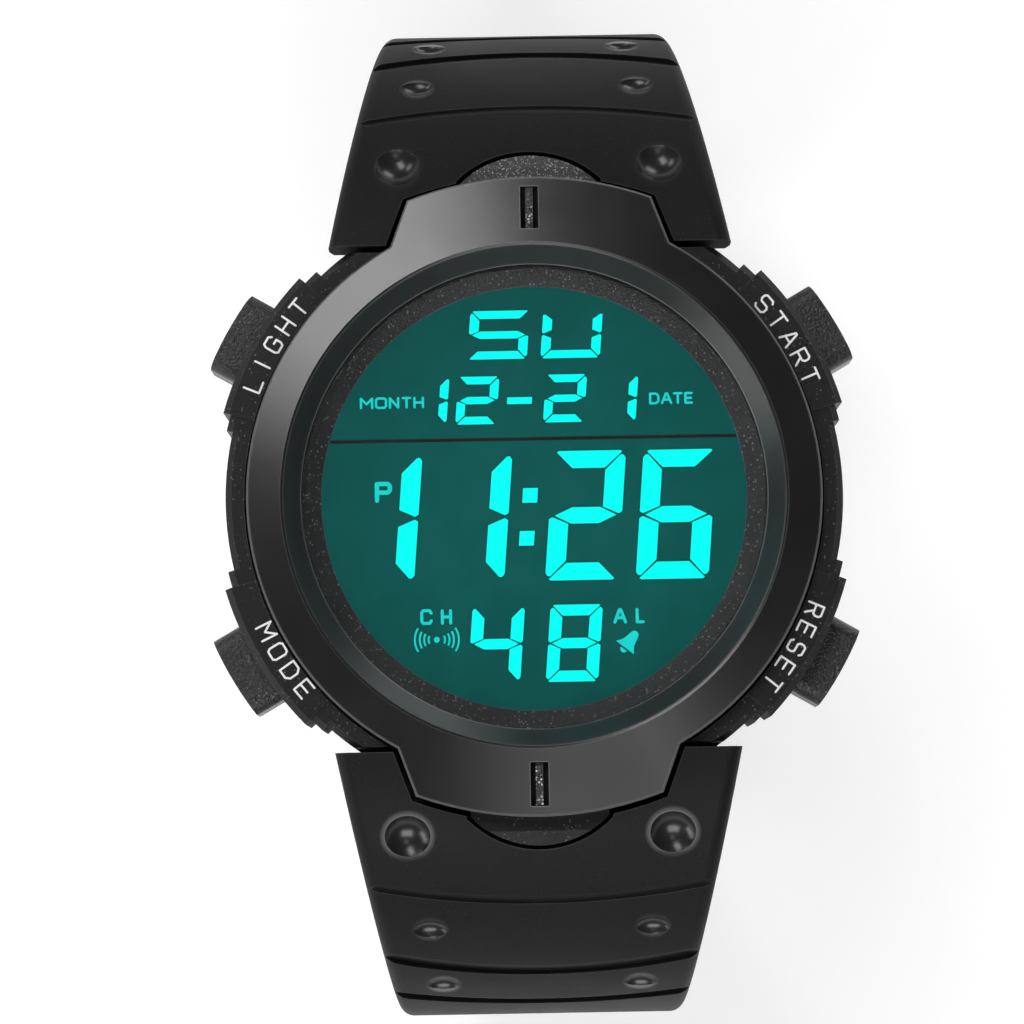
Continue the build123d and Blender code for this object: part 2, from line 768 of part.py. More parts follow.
def step_cutter(side, end_angle, middle_angle, run, depth):
    """Ring that sinks the strap's surface up to one bowed step line, where it stands up again."""
    bow = radians(middle_angle - end_angle) * curl_radius
    bow_radius = (shoulder_half_width**2 + bow**2) / (2 * bow)
    surface = surface_plane(side, (end_angle + middle_angle) / 2, curl_radius)
    centre = surface.origin + surface.y_dir * (bow / 2 - bow_radius)
    with BuildPart() as cutter:
        with BuildSketch(Plane(origin=centre, x_dir=surface.y_dir, z_dir=surface.x_dir)):
            with BuildLine():
                Polyline((bow_radius, -depth), (bow_radius, overrun), (bow_radius - 2 * run, overrun),
                         (bow_radius - 2 * run, depth / 2))
                ThreePointArc((bow_radius - 2 * run, depth / 2), (bow_radius - run, 0), (bow_radius, -depth))
            make_face()
        revolve(axis=Axis(centre, surface.z_dir))
    return cutter.part


def dimple(side, angle, x, radius, depth, stretch=1.0):
    """Ball that leaves a dimple of a given radius and depth in the strap's surface, stretched across it."""
    ball = (radius**2 + depth**2) / (2 * depth)
    d, z = curl_point(curl_radius + ball - depth, angle)
    with BuildPart() as pit:
        Sphere(ball)
        if stretch != 1.0:
            scale(by=(stretch, 1, 1))
    return pit.part.moved(Location((x, side * d, z)))


def strap_end_cuts(side):
    """All that a strap half's end loses: notch, nose recess, lug slots, pin bore, steps and dimples."""
    with BuildPart() as cuts:
        with BuildSketch(Plane.XY.offset(notch_floor)):
            add(ear_outline(side, chamber_radius - overrun, notch_gap))
            add(nose_outline(side, 0))
        extrude(amount=far_out)
        with BuildSketch(side_plane(side)):
            with BuildLine():
                Polyline((curl_y, 0), (heel_y, 0), (heel_y, pin_z))
                ThreePointArc((heel_y, pin_z), (heel_y + knuckle_radius * (1 - cos(radians(45))),
                                                pin_z + knuckle_radius * sin(radians(45))),
                              (heel_y + knuckle_radius, notch_floor))
                Polyline((heel_y + knuckle_radius, notch_floor), (curl_y, notch_floor), (curl_y, 0))
            make_face()
        extrude(amount=lug_slot_outer, both=True)
        slot = lug_slot_outer - tongue_half_width
        slot_radius = lug_radius + lug_clearance
        for x in (tongue_half_width, -lug_slot_outer):
            with BuildSketch(side_plane(side, x if side > 0 else x + slot)):
                with BuildLine():
                    Polyline((pin_y + slot_radius, pin_z), (pin_y + slot_radius, 0), (curl_y, 0),
                             (curl_y, pin_z + slot_radius), (pin_y, pin_z + slot_radius))
                    diagonal = slot_radius * sin(radians(45))
                    ThreePointArc((pin_y, pin_z + slot_radius), (pin_y + diagonal, pin_z + diagonal),
                                  (pin_y + slot_radius, pin_z))
                make_face()
            extrude(amount=slot)
        with BuildSketch(side_plane(side)):
            with Locations((pin_y, pin_z)):
                Circle(lug_pin_radius + pin_clearance)
        extrude(amount=tongue_half_width, both=True)
        for step in steps:
            add(step_cutter(side, *step))
        for angle, x in big_dimples:
            add(dimple(side, angle, x, big_dimple_radius, big_dimple_depth))
            add(dimple(side, angle, -x, big_dimple_radius, big_dimple_depth))
        for angle, x in small_dimples:
            add(dimple(side, angle, x, small_dimple_radius, small_dimple_depth, small_dimple_stretch))
            add(dimple(side, angle, -x, small_dimple_radius, small_dimple_depth, small_dimple_stretch))
    return cuts.part


def plan_taper(side):
    """Strap outline seen from above."""
    with BuildSketch() as outline:
        near = side * shoulder_end
        far = side * (curl_y + curl_radius)
        back = -side * far_out
        with BuildLine():
            Polyline((shoulder_half_width, back), (shoulder_half_width, near), (side_half_width, far),
                     (-side_half_width, far), (-shoulder_half_width, near), (-shoulder_half_width, back),
                     close=True)
        make_face()
    return outline.sketch


def front_taper(lag):
    """Strap outline seen from the front, with its taper starting below the curl's middle by a lag."""
    with BuildSketch() as outline:
        low = -2 * far_out
        with BuildLine():
            Polyline((front_top_half_width, bezel_top), (side_half_width, curl_z - lag),
                     (tail_half_width, taper_end_z), (tail_half_width, low), (-tail_half_width, low),
                     (-tail_half_width, taper_end_z), (-side_half_width, curl_z - lag),
                     (-front_top_half_width, bezel_top), close=True)
        make_face()
        fillet([corner for corner in outline.vertices() if low < corner.Y < bezel_top], radius=taper_blend)
    return outline.sketch


def outer_rim(strap, lean):
    """Edges between a strap half's outer surface and its sides, round the curl and along what follows it."""
    rim = []
    for edge in strap.edges():
        middle = edge @ 0.5
        away, height = abs(middle.Y) - curl_y, middle.Z - curl_z
        run_reach = away * cos(radians(lean)) - height * sin(radians(lean))
        places = [hypot(away, height) - curl_radius]
        if height < 0:
            places.append(run_reach - curl_radius)
        if middle.Z < bend_z and not lean:
            places += [hypot(abs(middle.Y) - bend_y, middle.Z - bend_z) - long_bend, middle.Z - table]
        if min(abs(place) for place in places) < fit_gap and abs(edge.tangent_at(0.5).X) < 0.9:
            rim.append(edge)
    return rim


block_angle = degrees(acos((block_bottom - curl_z) / curl_inner))
block_points, shoulder_angle = strap_profile_start(block_angle)
table = curl_z - long_drop - long_bend
bend_z = curl_z - long_drop
curl_side = curl_y + curl_radius
bend_y = curl_side - long_bend
bend_inner = long_bend - tail_thickness

# Long half at 6 o'clock: end block, curl, straight drop, bend and a flat tail with the holes
with BuildPart() as strap_long:
    with BuildSketch(side_plane(-1)):
        with BuildLine():
            Polyline(*block_points)
            curl_arc(curl_radius, shoulder_angle, 90)
            Line((curl_side, curl_z), (curl_side, bend_z))
            ThreePointArc((curl_side, bend_z), (bend_y + long_bend * sin(radians(45)),
                                               bend_z - long_bend * cos(radians(45))), (bend_y, table))
            Polyline((bend_y, table), (tail_end, table), (tail_end, table + tail_thickness),
                     (bend_y, table + tail_thickness))
            ThreePointArc((bend_y, table + tail_thickness),
                          (bend_y + bend_inner * sin(radians(45)), bend_z - bend_inner * cos(radians(45))),
                          (bend_y + bend_inner, bend_z))
            Line((bend_y + bend_inner, bend_z), curl_point(curl_inner, 90))
            curl_arc(curl_inner, 90, block_angle)
        make_face()
    extrude(amount=shoulder_half_width, both=True)
    with BuildSketch(Plane.XY.offset(-2 * far_out)):
        add(plan_taper(-1))
    extrude(amount=4 * far_out, mode=Mode.INTERSECT)
    with BuildSketch(Plane.XZ):
        add(front_taper(0))
    extrude(amount=far_out, both=True, mode=Mode.INTERSECT)
    fillet(strap_long.edges().filter_by(Axis.Z).group_by(Axis.Y)[-1], radius=tail_corner)
    fillet(outer_rim(strap_long, 0), radius=rim_round)
    add(strap_end_cuts(-1), mode=Mode.SUBTRACT)
    with BuildSketch(Plane.XY.offset(table - overrun)):
        for count in range(flat_holes):
            with Locations((hole_row, -tail_end - first_hole - count * hole_pitch),
                           (-hole_row, -tail_end - first_hole - count * hole_pitch)):
                Circle(hole_radius)
    extrude(amount=tail_thickness + 2 * overrun, mode=Mode.SUBTRACT)
    last_flat = -tail_end - first_hole - (flat_holes - 1) * hole_pitch
    for count in range(1, bend_holes + 1):
        turn = degrees((count * hole_pitch - (last_flat + bend_y)) / long_bend)
        centre = (0, -bend_y, bend_z)
        outward = (0, -sin(radians(turn)), -cos(radians(turn)))
        with BuildSketch(Plane(origin=centre, x_dir=(1, 0, 0), z_dir=outward).offset(bend_inner - overrun)):
            with Locations((hole_row, 0), (-hole_row, 0)):
                Circle(hole_radius)
        extrude(amount=tail_thickness + 2 * overrun, mode=Mode.SUBTRACT)
save(strap_long.part, "strap_long")

# Short half at 12 o'clock: end block, curl, a straight run and a fork round the buckle's pin
run_angle = 90 + short_turn
down = (-sin(radians(short_turn)), -cos(radians(short_turn)))
outer_turn = curl_point(curl_radius, run_angle)
inner_turn = curl_point(curl_inner, run_angle)
middle_turn = curl_point(curl_radius - strap_thickness / 2, run_angle)
outer_end = (outer_turn[0] + short_run * down[0], outer_turn[1] + short_run * down[1])
inner_end = (inner_turn[0] + short_run * down[0], inner_turn[1] + short_run * down[1])
buckle_y = middle_turn[0] + short_run * down[0]
buckle_z = middle_turn[1] + short_run * down[1]

with BuildPart() as strap_short:
    with BuildSketch(side_plane(1)):
        with BuildLine():
            Polyline(*block_points)
            curl_arc(curl_radius, shoulder_angle, run_angle)
            Polyline(outer_turn, outer_end, inner_end, inner_turn)
            curl_arc(curl_inner, run_angle, block_angle)
        make_face()
        with Locations((buckle_y, buckle_z)):
            Circle(fork_radius)
    extrude(amount=shoulder_half_width, both=True)
    with BuildSketch(Plane.XY.offset(-2 * far_out)):
        add(plan_taper(1))
    extrude(amount=4 * far_out, mode=Mode.INTERSECT)
    with BuildSketch(Plane.XZ):
        add(front_taper(short_taper_lag))
    extrude(amount=far_out, both=True, mode=Mode.INTERSECT)
    fillet(outer_rim(strap_short, short_turn), radius=rim_round)
    add(strap_end_cuts(1), mode=Mode.SUBTRACT)
    with BuildSketch(Plane.XZ):
        with Locations((0, buckle_z + fork_depth - far_out / 2)):
            Rectangle(2 * fork_gap_half, far_out)
    extrude(amount=far_out, both=True, mode=Mode.SUBTRACT)
    with BuildSketch(side_plane(1)):
        with Locations((buckle_y, buckle_z)):
            Circle(buckle_pin_radius + pin_clearance)
    extrude(amount=far_out, both=True, mode=Mode.SUBTRACT)
save(strap_short.part, "strap_short")

# Spring bars: two in the lugs, one in the buckle
for name, side in (("lug_pin_12", 1), ("lug_pin_6", -1)):
    with BuildPart() as lug_pin:
        with BuildSketch(side_plane(side)):
            with Locations((pin_y, pin_z)):
                Circle(lug_pin_radius)
        extrude(amount=lug_inner - fit_gap, both=True)
        with BuildSketch(side_plane(side)):
            with Locations((pin_y, pin_z)):
                Circle(lug_pin_tip_radius)
        extrude(amount=lug_inner + lug_pin_tip - fit_gap, both=True)
    save(lug_pin.part, name)

arm_inner = tail_half_width + side_gap
arm_outer = arm_inner + buckle_arm
with BuildPart() as buckle_pin:
    with BuildSketch(side_plane(1)):
        with Locations((buckle_y, buckle_z)):
            Circle(buckle_pin_radius)
    extrude(amount=arm_outer - eye_wall - fit_gap, both=True)
save(buckle_pin.part, "buckle_pin")

# Buckle frame, hanging straight down from its pin
with BuildPart() as buckle_frame:
    with BuildSketch(Plane.XZ.offset(-buckle_y - buckle_thickness / 2)):
        with Locations((0, buckle_z - buckle_reach / 2)):
            Rectangle(2 * arm_outer, buckle_reach)
        with Locations((0, buckle_z - (buckle_reach - crossbar) / 2)):
            Rectangle(2 * arm_inner, buckle_reach - crossbar, mode=Mode.SUBTRACT)
    extrude(amount=buckle_thickness)
    fillet(buckle_frame.edges().filter_by(Axis.Y).group_by(Axis.Z)[0], radius=buckle_corner)
    chamfer(buckle_frame.faces().filter_by(Axis.Y).edges(), length=buckle_edge)
    for x in (arm_inner, -arm_outer):
        with BuildSketch(side_plane(1, x)):
            with Locations((buckle_y, buckle_z)):
                Circle(buckle_eye_radius)
        extrude(amount=buckle_arm)
    with BuildSketch(side_plane(1)):
        with Locations((buckle_y, buckle_z)):
            Circle(buckle_pin_radius + pin_clearance)
    extrude(amount=arm_outer - eye_wall, both=True, mode=Mode.SUBTRACT)
save(buckle_frame.part, "buckle_frame")

# Double tongue: a barrel on the pin and two prongs lying on the crossbar
prong_inner = buckle_y + buckle_thickness / 2 + prong_gap
prong_outer = prong_inner + prong_thickness
prong_tip = buckle_z - buckle_reach - prong_overhang
with BuildPart() as buckle_tongue:
    with BuildSketch(side_plane(1)):
        with Locations((buckle_y, buckle_z)):
            Circle(barrel_radius)
    extrude(amount=fork_gap_half - barrel_gap, both=True)
    for x in (hole_row - prong_width / 2, -hole_row - prong_width / 2):
        with BuildSketch(side_plane(1, x)):
            with BuildLine():
                Polyline((buckle_y, buckle_z), (buckle_y + barrel_radius, buckle_z),
                         (prong_outer, buckle_z - prong_bend), (prong_outer, prong_tip),
                         (prong_inner, prong_tip), (prong_inner, buckle_z - prong_bend), close=True)
            make_face()
        extrude(amount=prong_width)
    with BuildSketch(side_plane(1)):
        with Locations((buckle_y, buckle_z)):
            Circle(buckle_pin_radius + pin_clearance)
    extrude(amount=fork_gap_half, both=True, mode=Mode.SUBTRACT)
save(buckle_tongue.part, "buckle_tongue")

# Keepers round the short half's straight run: the fixed one first, the free one resting on it
free_keeper_start = fixed_keeper_start + fixed_keeper_length + keeper_stop_gap
for name, start, length, inner_gap in (
        ("keeper_fixed", fixed_keeper_start, fixed_keeper_length, 0.0),
        ("keeper_free", free_keeper_start, free_keeper_length, keeper_clearance)):
    up = (0, -down[0], -down[1])
    place = (0, buckle_y + start * up[1], buckle_z + start * up[2])
    with BuildPart() as keeper:
        with BuildSketch(Plane(origin=place, x_dir=(1, 0, 0), z_dir=up)):
            half = tail_half_width + keeper_side_clearance
            low = -strap_thickness / 2 - inner_gap
            high = strap_thickness / 2 + keeper_room
            with Locations((0, (low + high) / 2)):
                RectangleRounded(2 * (half + keeper_wall), high - low + 2 * keeper_wall, keeper_corner)
                Rectangle(2 * half, high - low, mode=Mode.SUBTRACT)
        extrude(amount=length)
    save(keeper.part, name)
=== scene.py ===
"""Looks of a round digital wristwatch: resin case and strap, gloss bezel, grained ring, lit display.

Metres, in the part's own frame: +Z out of the display, +Y to 12 o'clock, +X to 3 o'clock.
"""
import json
from math import atan2, cos, pi, radians, sin, tan

import bmesh
import bpy
from mathutils import Matrix, Vector

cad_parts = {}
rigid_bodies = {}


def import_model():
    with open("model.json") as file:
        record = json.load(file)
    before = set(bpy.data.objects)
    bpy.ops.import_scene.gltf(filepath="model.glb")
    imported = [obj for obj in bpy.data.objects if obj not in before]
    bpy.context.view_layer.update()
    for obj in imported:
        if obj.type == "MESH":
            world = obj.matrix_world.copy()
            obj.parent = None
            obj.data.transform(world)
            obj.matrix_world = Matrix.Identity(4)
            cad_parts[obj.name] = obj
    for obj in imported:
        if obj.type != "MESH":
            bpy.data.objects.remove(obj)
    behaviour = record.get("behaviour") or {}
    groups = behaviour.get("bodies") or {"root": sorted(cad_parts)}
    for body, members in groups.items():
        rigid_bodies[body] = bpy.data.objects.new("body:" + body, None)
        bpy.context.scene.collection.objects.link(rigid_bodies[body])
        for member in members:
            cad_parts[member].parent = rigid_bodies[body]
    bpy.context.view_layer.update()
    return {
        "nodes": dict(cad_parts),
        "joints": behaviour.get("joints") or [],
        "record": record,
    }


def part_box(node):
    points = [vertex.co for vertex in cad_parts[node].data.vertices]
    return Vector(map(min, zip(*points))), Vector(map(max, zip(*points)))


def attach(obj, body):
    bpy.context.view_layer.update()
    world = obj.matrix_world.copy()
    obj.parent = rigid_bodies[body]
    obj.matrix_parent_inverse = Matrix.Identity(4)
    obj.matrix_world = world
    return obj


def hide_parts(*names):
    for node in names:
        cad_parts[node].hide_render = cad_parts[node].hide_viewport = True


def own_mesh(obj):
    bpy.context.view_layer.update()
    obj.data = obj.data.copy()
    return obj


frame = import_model()
nodes = frame["nodes"]
scene = bpy.context.scene
MM = 0.001

# Sizes of the part that the finishes follow, in millimetres
BEZEL_FACE_INNER = 20.3
INDEX_BAR_LENGTH = 3.4
# The case's nose comes out from under the ear between these two places along Y
NOSE_STARTS, NOSE_BARE = 25.0, 25.8
# and is painted palest, as a painted highlight, up to the first of these distances from its middle
NOSE_MIDDLE, NOSE_ENDS = 4.0, 9.5
# X, Y, Z and radius of three dimples; the strap has each of them at all four corners
STRAP_DIMPLES = ((10.7, 27.28, 11.66, 1.85), (9.1, 34.82, 6.45, 1.2), (8.2, 39.46, 0.21, 1.2))

# Node helpers


def add_node(tree, kind, inputs=None, **settings):
    """One shader node with its settings, and its inputs set or linked."""
    made = tree.nodes.new(kind)
    for name, value in settings.items():
        setattr(made, name, value)
    for key, value in (inputs or {}).items():
        if isinstance(value, bpy.types.NodeSocket):
            tree.links.new(value, made.inputs[key])
        else:
            made.inputs[key].default_value = value
    return made


def math_node(tree, operation, first, second=0.0, third=None, clamp=False):
    """Result socket of one math operation."""
    values = {0: first, 1: second}
    if third is not None:
        values[2] = third
    return add_node(tree, "ShaderNodeMath", values, operation=operation, use_clamp=clamp).outputs[0]


def map_range(tree, value, from_min, from_max, to_min=0.0, to_max=1.0):
    """Value carried from one range to another and held at its ends."""
    return add_node(tree, "ShaderNodeMapRange",
                    {"Value": value, "From Min": from_min, "From Max": from_max,
                     "To Min": to_min, "To Max": to_max}).outputs["Result"]


def object_place(tree):
    """Coordinates fixed to the piece, in metres."""
    return add_node(tree, "ShaderNodeTexCoord").outputs["Object"]


def axis_distance(tree):
    """Distance from the watch's own axis, in metres."""
    flat = add_node(tree, "ShaderNodeMapping", {"Vector": object_place(tree), "Scale": (1, 1, 0)})
    return add_node(tree, "ShaderNodeVectorMath", {0: flat.outputs["Vector"]},
                    operation="LENGTH").outputs["Value"]


def pattern_scale(group, size):
    """Texture scale at which a pattern repeats every so many millimetres."""
    return math_node(group, "DIVIDE", 1.0 / MM, size)


def mix_colour(tree, factor, first, second):
    """Mixed colour socket."""
    made = tree.nodes.new("ShaderNodeMix")
    made.data_type = "RGBA"
    for socket, value in ((made.inputs[0], factor), (made.inputs[6], first), (made.inputs[7], second)):
        if isinstance(value, bpy.types.NodeSocket):
            tree.links.new(value, socket)
        elif isinstance(value, (int, float)):
            socket.default_value = value
        else:
            socket.default_value = (*value, 1)
    return made.outputs[2]


def new_group(name, inputs, outputs):
    """Shader node group whose sockets are all numbers, its input node and its output node."""
    group = bpy.data.node_groups.new(name, "ShaderNodeTree")
    for label, value in inputs.items():
        socket = group.interface.new_socket(label, in_out="INPUT", socket_type="NodeSocketFloat")
        socket.default_value = value
    for label in outputs:
        group.interface.new_socket(label, in_out="OUTPUT", socket_type="NodeSocketFloat")
    return group, group.nodes.new("NodeGroupInput"), group.nodes.new("NodeGroupOutput")


def place_group(tree, group, **inputs):
    """Group node in a material, with its own values."""
    made = tree.nodes.new("ShaderNodeGroup")
    made.node_tree = group
    for label, value in inputs.items():
        label = label.replace("_", " ").capitalize()
        if isinstance(value, bpy.types.NodeSocket):
            tree.links.new(value, made.inputs[label])
        else:
            made.inputs[label].default_value = value
    return made


# Effects that several finishes share


def make_moulded_grain():
    """Fine pebbled surface of a moulding, with painted glints on the tips of the grain."""
    group, given, made = new_group("moulded grain", {"Size": 0.2, "Speck share": 0.1}, ["Height", "Glints"])
    place = object_place(group)
    scale = pattern_scale(group, given.outputs["Size"])
    pebbles = add_node(group, "ShaderNodeTexVoronoi", {"Vector": place, "Scale": scale, "Randomness": 1.0},
                       feature="SMOOTH_F1")
    finer = math_node(group, "MULTIPLY", scale, 1.7)
    fine = add_node(group, "ShaderNodeTexNoise", {"Vector": place, "Scale": finer, "Detail": 3.0})
    pebble_share, fine_share = -0.7, 0.8
    height = math_node(group, "ADD", math_node(group, "MULTIPLY", pebbles.outputs["Distance"], pebble_share),
                       math_node(group, "MULTIPLY", fine.outputs["Fac"], fine_share))
    # Glints: chosen grain tips, which the finishes paint pale as painted glints
    cells = add_node(group, "ShaderNodeTexVoronoi", {"Vector": place, "Scale": scale, "Randomness": 1.0})
    chosen = add_node(group, "ShaderNodeSeparateColor", {"Color": cells.outputs["Color"]})
    limit = math_node(group, "SUBTRACT", 1.0, given.outputs["Speck share"])
    picked = math_node(group, "GREATER_THAN", chosen.outputs["Red"], limit)
    tip_radius = 0.42
    tip = math_node(group, "LESS_THAN", cells.outputs["Distance"], tip_radius)
    strength = math_node(group, "MULTIPLY", chosen.outputs["Green"], tip)
    group.links.new(height, made.inputs["Height"])
    group.links.new(math_node(group, "MULTIPLY", picked, strength), made.inputs["Glints"])
    return group


def make_edge_wear_and_highlight():
    """Mask of convex edges, broken up where handling hasn't reached; the paler edges it gives are partly wear
    and partly painted highlight.
    """
    group, given, made = new_group("edge wear and highlight", {"Width": 0.12, "Breakup": 0.5}, ["Mask"])
    radius = math_node(group, "MULTIPLY", given.outputs["Width"], MM)
    rounded = add_node(group, "ShaderNodeBevel", {"Radius": radius}, samples=4)
    shape = add_node(group, "ShaderNodeNewGeometry")
    match = add_node(group, "ShaderNodeVectorMath",
                     {0: rounded.outputs["Normal"], 1: shape.outputs["Normal"]},
                     operation="DOT_PRODUCT").outputs["Value"]
    sharpness = 6.0
    turned = math_node(group, "MULTIPLY", math_node(group, "SUBTRACT", 1.0, match), sharpness, clamp=True)
    place = object_place(group)
    patches = add_node(group, "ShaderNodeTexNoise", {"Vector": place, "Scale": 420.0, "Detail": 4.0})
    least = math_node(group, "SUBTRACT", 1.0, given.outputs["Breakup"])
    kept = map_range(group, patches.outputs["Fac"], 0.35, 0.65, least, 1.0)
    group.links.new(math_node(group, "MULTIPLY", turned, kept), made.inputs["Mask"])
    return group


def make_smudges():
    """Uneven sheen left by fingers and wiping."""
    group, given, made = new_group("smudges", {"Size": 6.0, "Low": 0.1, "High": 0.2},
                                   ["Roughness", "Patches"])
    place = object_place(group)
    scale = pattern_scale(group, given.outputs["Size"])
    wide = add_node(group, "ShaderNodeTexNoise",
                    {"Vector": place, "Scale": scale, "Detail": 5.0, "Distortion": 0.6})
    spread = map_range(group, wide.outputs["Fac"], 0.3, 0.7, given.outputs["Low"], given.outputs["High"])
    group.links.new(spread, made.inputs["Roughness"])
    group.links.new(wide.outputs["Fac"], made.inputs["Patches"])
    return group


def make_scuffs():
    """Faint rubbed lines on a soft moulding, mostly one way."""
    group, given, made = new_group("scuffs", {"Spacing": 1.2, "Share": 0.2}, ["Mask"])
    place = object_place(group)
    turned = add_node(group, "ShaderNodeMapping", {"Vector": place, "Rotation": (0.2, 0.3, 0.5),
                                                   "Scale": (1.0, 0.12, 0.35)})
    scale = pattern_scale(group, given.outputs["Spacing"])
    lines = add_node(group, "ShaderNodeTexNoise", {"Vector": turned.outputs["Vector"], "Scale": scale,
                                                   "Detail": 6.0, "Roughness": 0.7})
    top = math_node(group, "SUBTRACT", 0.78, math_node(group, "MULTIPLY", given.outputs["Share"], 0.3))
    marks = map_range(group, lines.outputs["Fac"], top, math_node(group, "ADD", top, 0.1))
    group.links.new(marks, made.inputs["Mask"])
    return group


def make_brushing():
    """Fine machining lines: straight along X, or round the watch's axis."""
    group, given, made = new_group("brushing", {"Spacing": 0.08, "Turned": 0.0}, ["Height", "Tone"])
    place = object_place(group)
    parts = add_node(group, "ShaderNodeSeparateXYZ", {"Vector": place})
    squares = [math_node(group, "POWER", parts.outputs[axis], 2.0) for axis in "XY"]
    reach = math_node(group, "SQRT", math_node(group, "ADD", *squares))
    across = math_node(group, "ADD", parts.outputs["Y"], parts.outputs["Z"])
    line = add_node(group, "ShaderNodeMix", {0: given.outputs["Turned"], 2: across, 3: reach})
    scale = pattern_scale(group, given.outputs["Spacing"])
    waves = add_node(group, "ShaderNodeTexNoise",
                     {"W": math_node(group, "MULTIPLY", line.outputs[0], scale), "Scale": 1.0, "Detail": 2.0},
                     noise_dimensions="1D")
    broken = add_node(group, "ShaderNodeTexNoise", {"Vector": place, "Scale": 300.0, "Detail": 2.0})
    group.links.new(math_node(group, "MULTIPLY", waves.outputs["Fac"], broken.outputs["Fac"]),
                    made.inputs["Height"])
    group.links.new(waves.outputs["Fac"], made.inputs["Tone"])
    return group


moulded_grain = make_moulded_grain()
edge_wear_and_highlight = make_edge_wear_and_highlight()
smudges = make_smudges()
scuffs = make_scuffs()
brushing = make_brushing()


# Finishes


def new_finish(name, **constants):
    """Material with one Principled surface; constants go on its own sockets."""
    finish = bpy.data.materials.new(name)
    finish.use_nodes = True
    tree = finish.node_tree
    surface = tree.nodes["Principled BSDF"]
    for label, value in constants.items():
        label = label.replace("_", " ").title().replace("Ior", "IOR")
        surface.inputs[label].default_value = value if isinstance(value, (int, float)) else (*value, 1)
    return finish, tree, surface


def set_bump(tree, surface, height, depth):
    """Bump from a height socket, with its depth in millimetres."""
    bump = add_node(tree, "ShaderNodeBump", {"Height": height, "Strength": 1.0, "Distance": depth * MM})
    tree.links.new(bump.outputs["Normal"], surface.inputs["Normal"])


def nose_highlight_mask(tree):
    """Mask of the case's nose at 12 o'clock, past the bezel's ear, where a paler painted highlight goes."""
    parts = add_node(tree, "ShaderNodeSeparateXYZ", {"Vector": object_place(tree)})
    past_ear = map_range(tree, parts.outputs["Y"], NOSE_STARTS * MM, NOSE_BARE * MM)
    aside = map_range(tree, math_node(tree, "ABSOLUTE", parts.outputs["X"]), NOSE_MIDDLE * MM,
                      NOSE_ENDS * MM, 1.0, 0.5)
    return math_node(tree, "MULTIPLY", past_ear, aside)


def make_grained_resin(name, dark, light, size, depth, glints, glint_colour, rough, specular, wear=0.35,
                       painted_nose_highlight=None):
    """Black resin whose moulded grain has painted glints on its tips; the nose at 12 may get a painted
    highlight.
    """
    finish, tree, surface = new_finish(name, specular_ior_level=specular)
    share = glints
    # Painted highlight on the nose at 12: more painted glints there, and a paler colour below
    if painted_nose_highlight:
        nose = nose_highlight_mask(tree)
        share = math_node(tree, "MULTIPLY_ADD", nose, 0.5, glints)
    grain = place_group(tree, moulded_grain, size=size, speck_share=share)
    edges_worn_and_lit = place_group(tree, edge_wear_and_highlight, width=0.15, breakup=0.6)
    patches = place_group(tree, smudges, size=9.0, low=rough - 0.06, high=rough + 0.08)
    base = mix_colour(tree, patches.outputs["Patches"], dark, light)
    # Painted highlight: the nose's colour is painted paler, palest in its middle
    if painted_nose_highlight:
        base = mix_colour(tree, nose, base, painted_nose_highlight)
    # Paler edges: partly wear, partly painted highlight
    base = mix_colour(tree, math_node(tree, "MULTIPLY", edges_worn_and_lit.outputs["Mask"], wear), base, glint_colour)
    # Painted glints on the grain's tips, paler on the nose as part of its painted highlight
    tips = mix_colour(tree, nose, glint_colour, (0.42, 0.42, 0.425)) if painted_nose_highlight else glint_colour
    base = mix_colour(tree, grain.outputs["Glints"], base, tips)
    rougher = math_node(tree, "SUBTRACT", patches.outputs["Roughness"],
                        math_node(tree, "MULTIPLY", grain.outputs["Glints"], 0.15))
    tree.links.new(base, surface.inputs["Base Color"])
    tree.links.new(rougher, surface.inputs["Roughness"])
    set_bump(tree, surface, grain.outputs["Height"], depth)
    return finish


def make_gloss_bezel():
    """Gloss black face with faint wiping marks and bright edges, partly wear and partly painted highlight,
    and a satin bevel down to the window.
    """
    finish, tree, surface = new_finish("gloss bezel", specular_ior_level=0.6)
    wiped = place_group(tree, smudges, size=11.0, low=0.17, high=0.24)
    satin = place_group(tree, smudges, size=4.0, low=0.34, high=0.42)
    edges_worn_and_lit = place_group(tree, edge_wear_and_highlight, width=0.2, breakup=0.25)
    on_bevel = math_node(tree, "LESS_THAN", axis_distance(tree), BEZEL_FACE_INNER * MM)
    base = mix_colour(tree, wiped.outputs["Patches"], (0.0060, 0.0060, 0.0064), (0.0095, 0.0095, 0.0100))
    # Bright edges: partly wear, partly painted highlight
    base = mix_colour(tree, math_node(tree, "MULTIPLY", edges_worn_and_lit.outputs["Mask"], 0.7), base, (0.20, 0.20, 0.20))
    rough = add_node(tree, "ShaderNodeMix",
                     {0: on_bevel, 2: wiped.outputs["Roughness"], 3: satin.outputs["Roughness"]})
    tree.links.new(base, surface.inputs["Base Color"])
    tree.links.new(rough.outputs[0], surface.inputs["Roughness"])
    fine = place_group(tree, moulded_grain, size=0.35, speck_share=0.0)
    set_bump(tree, surface, fine.outputs["Height"], 0.001)
    return finish


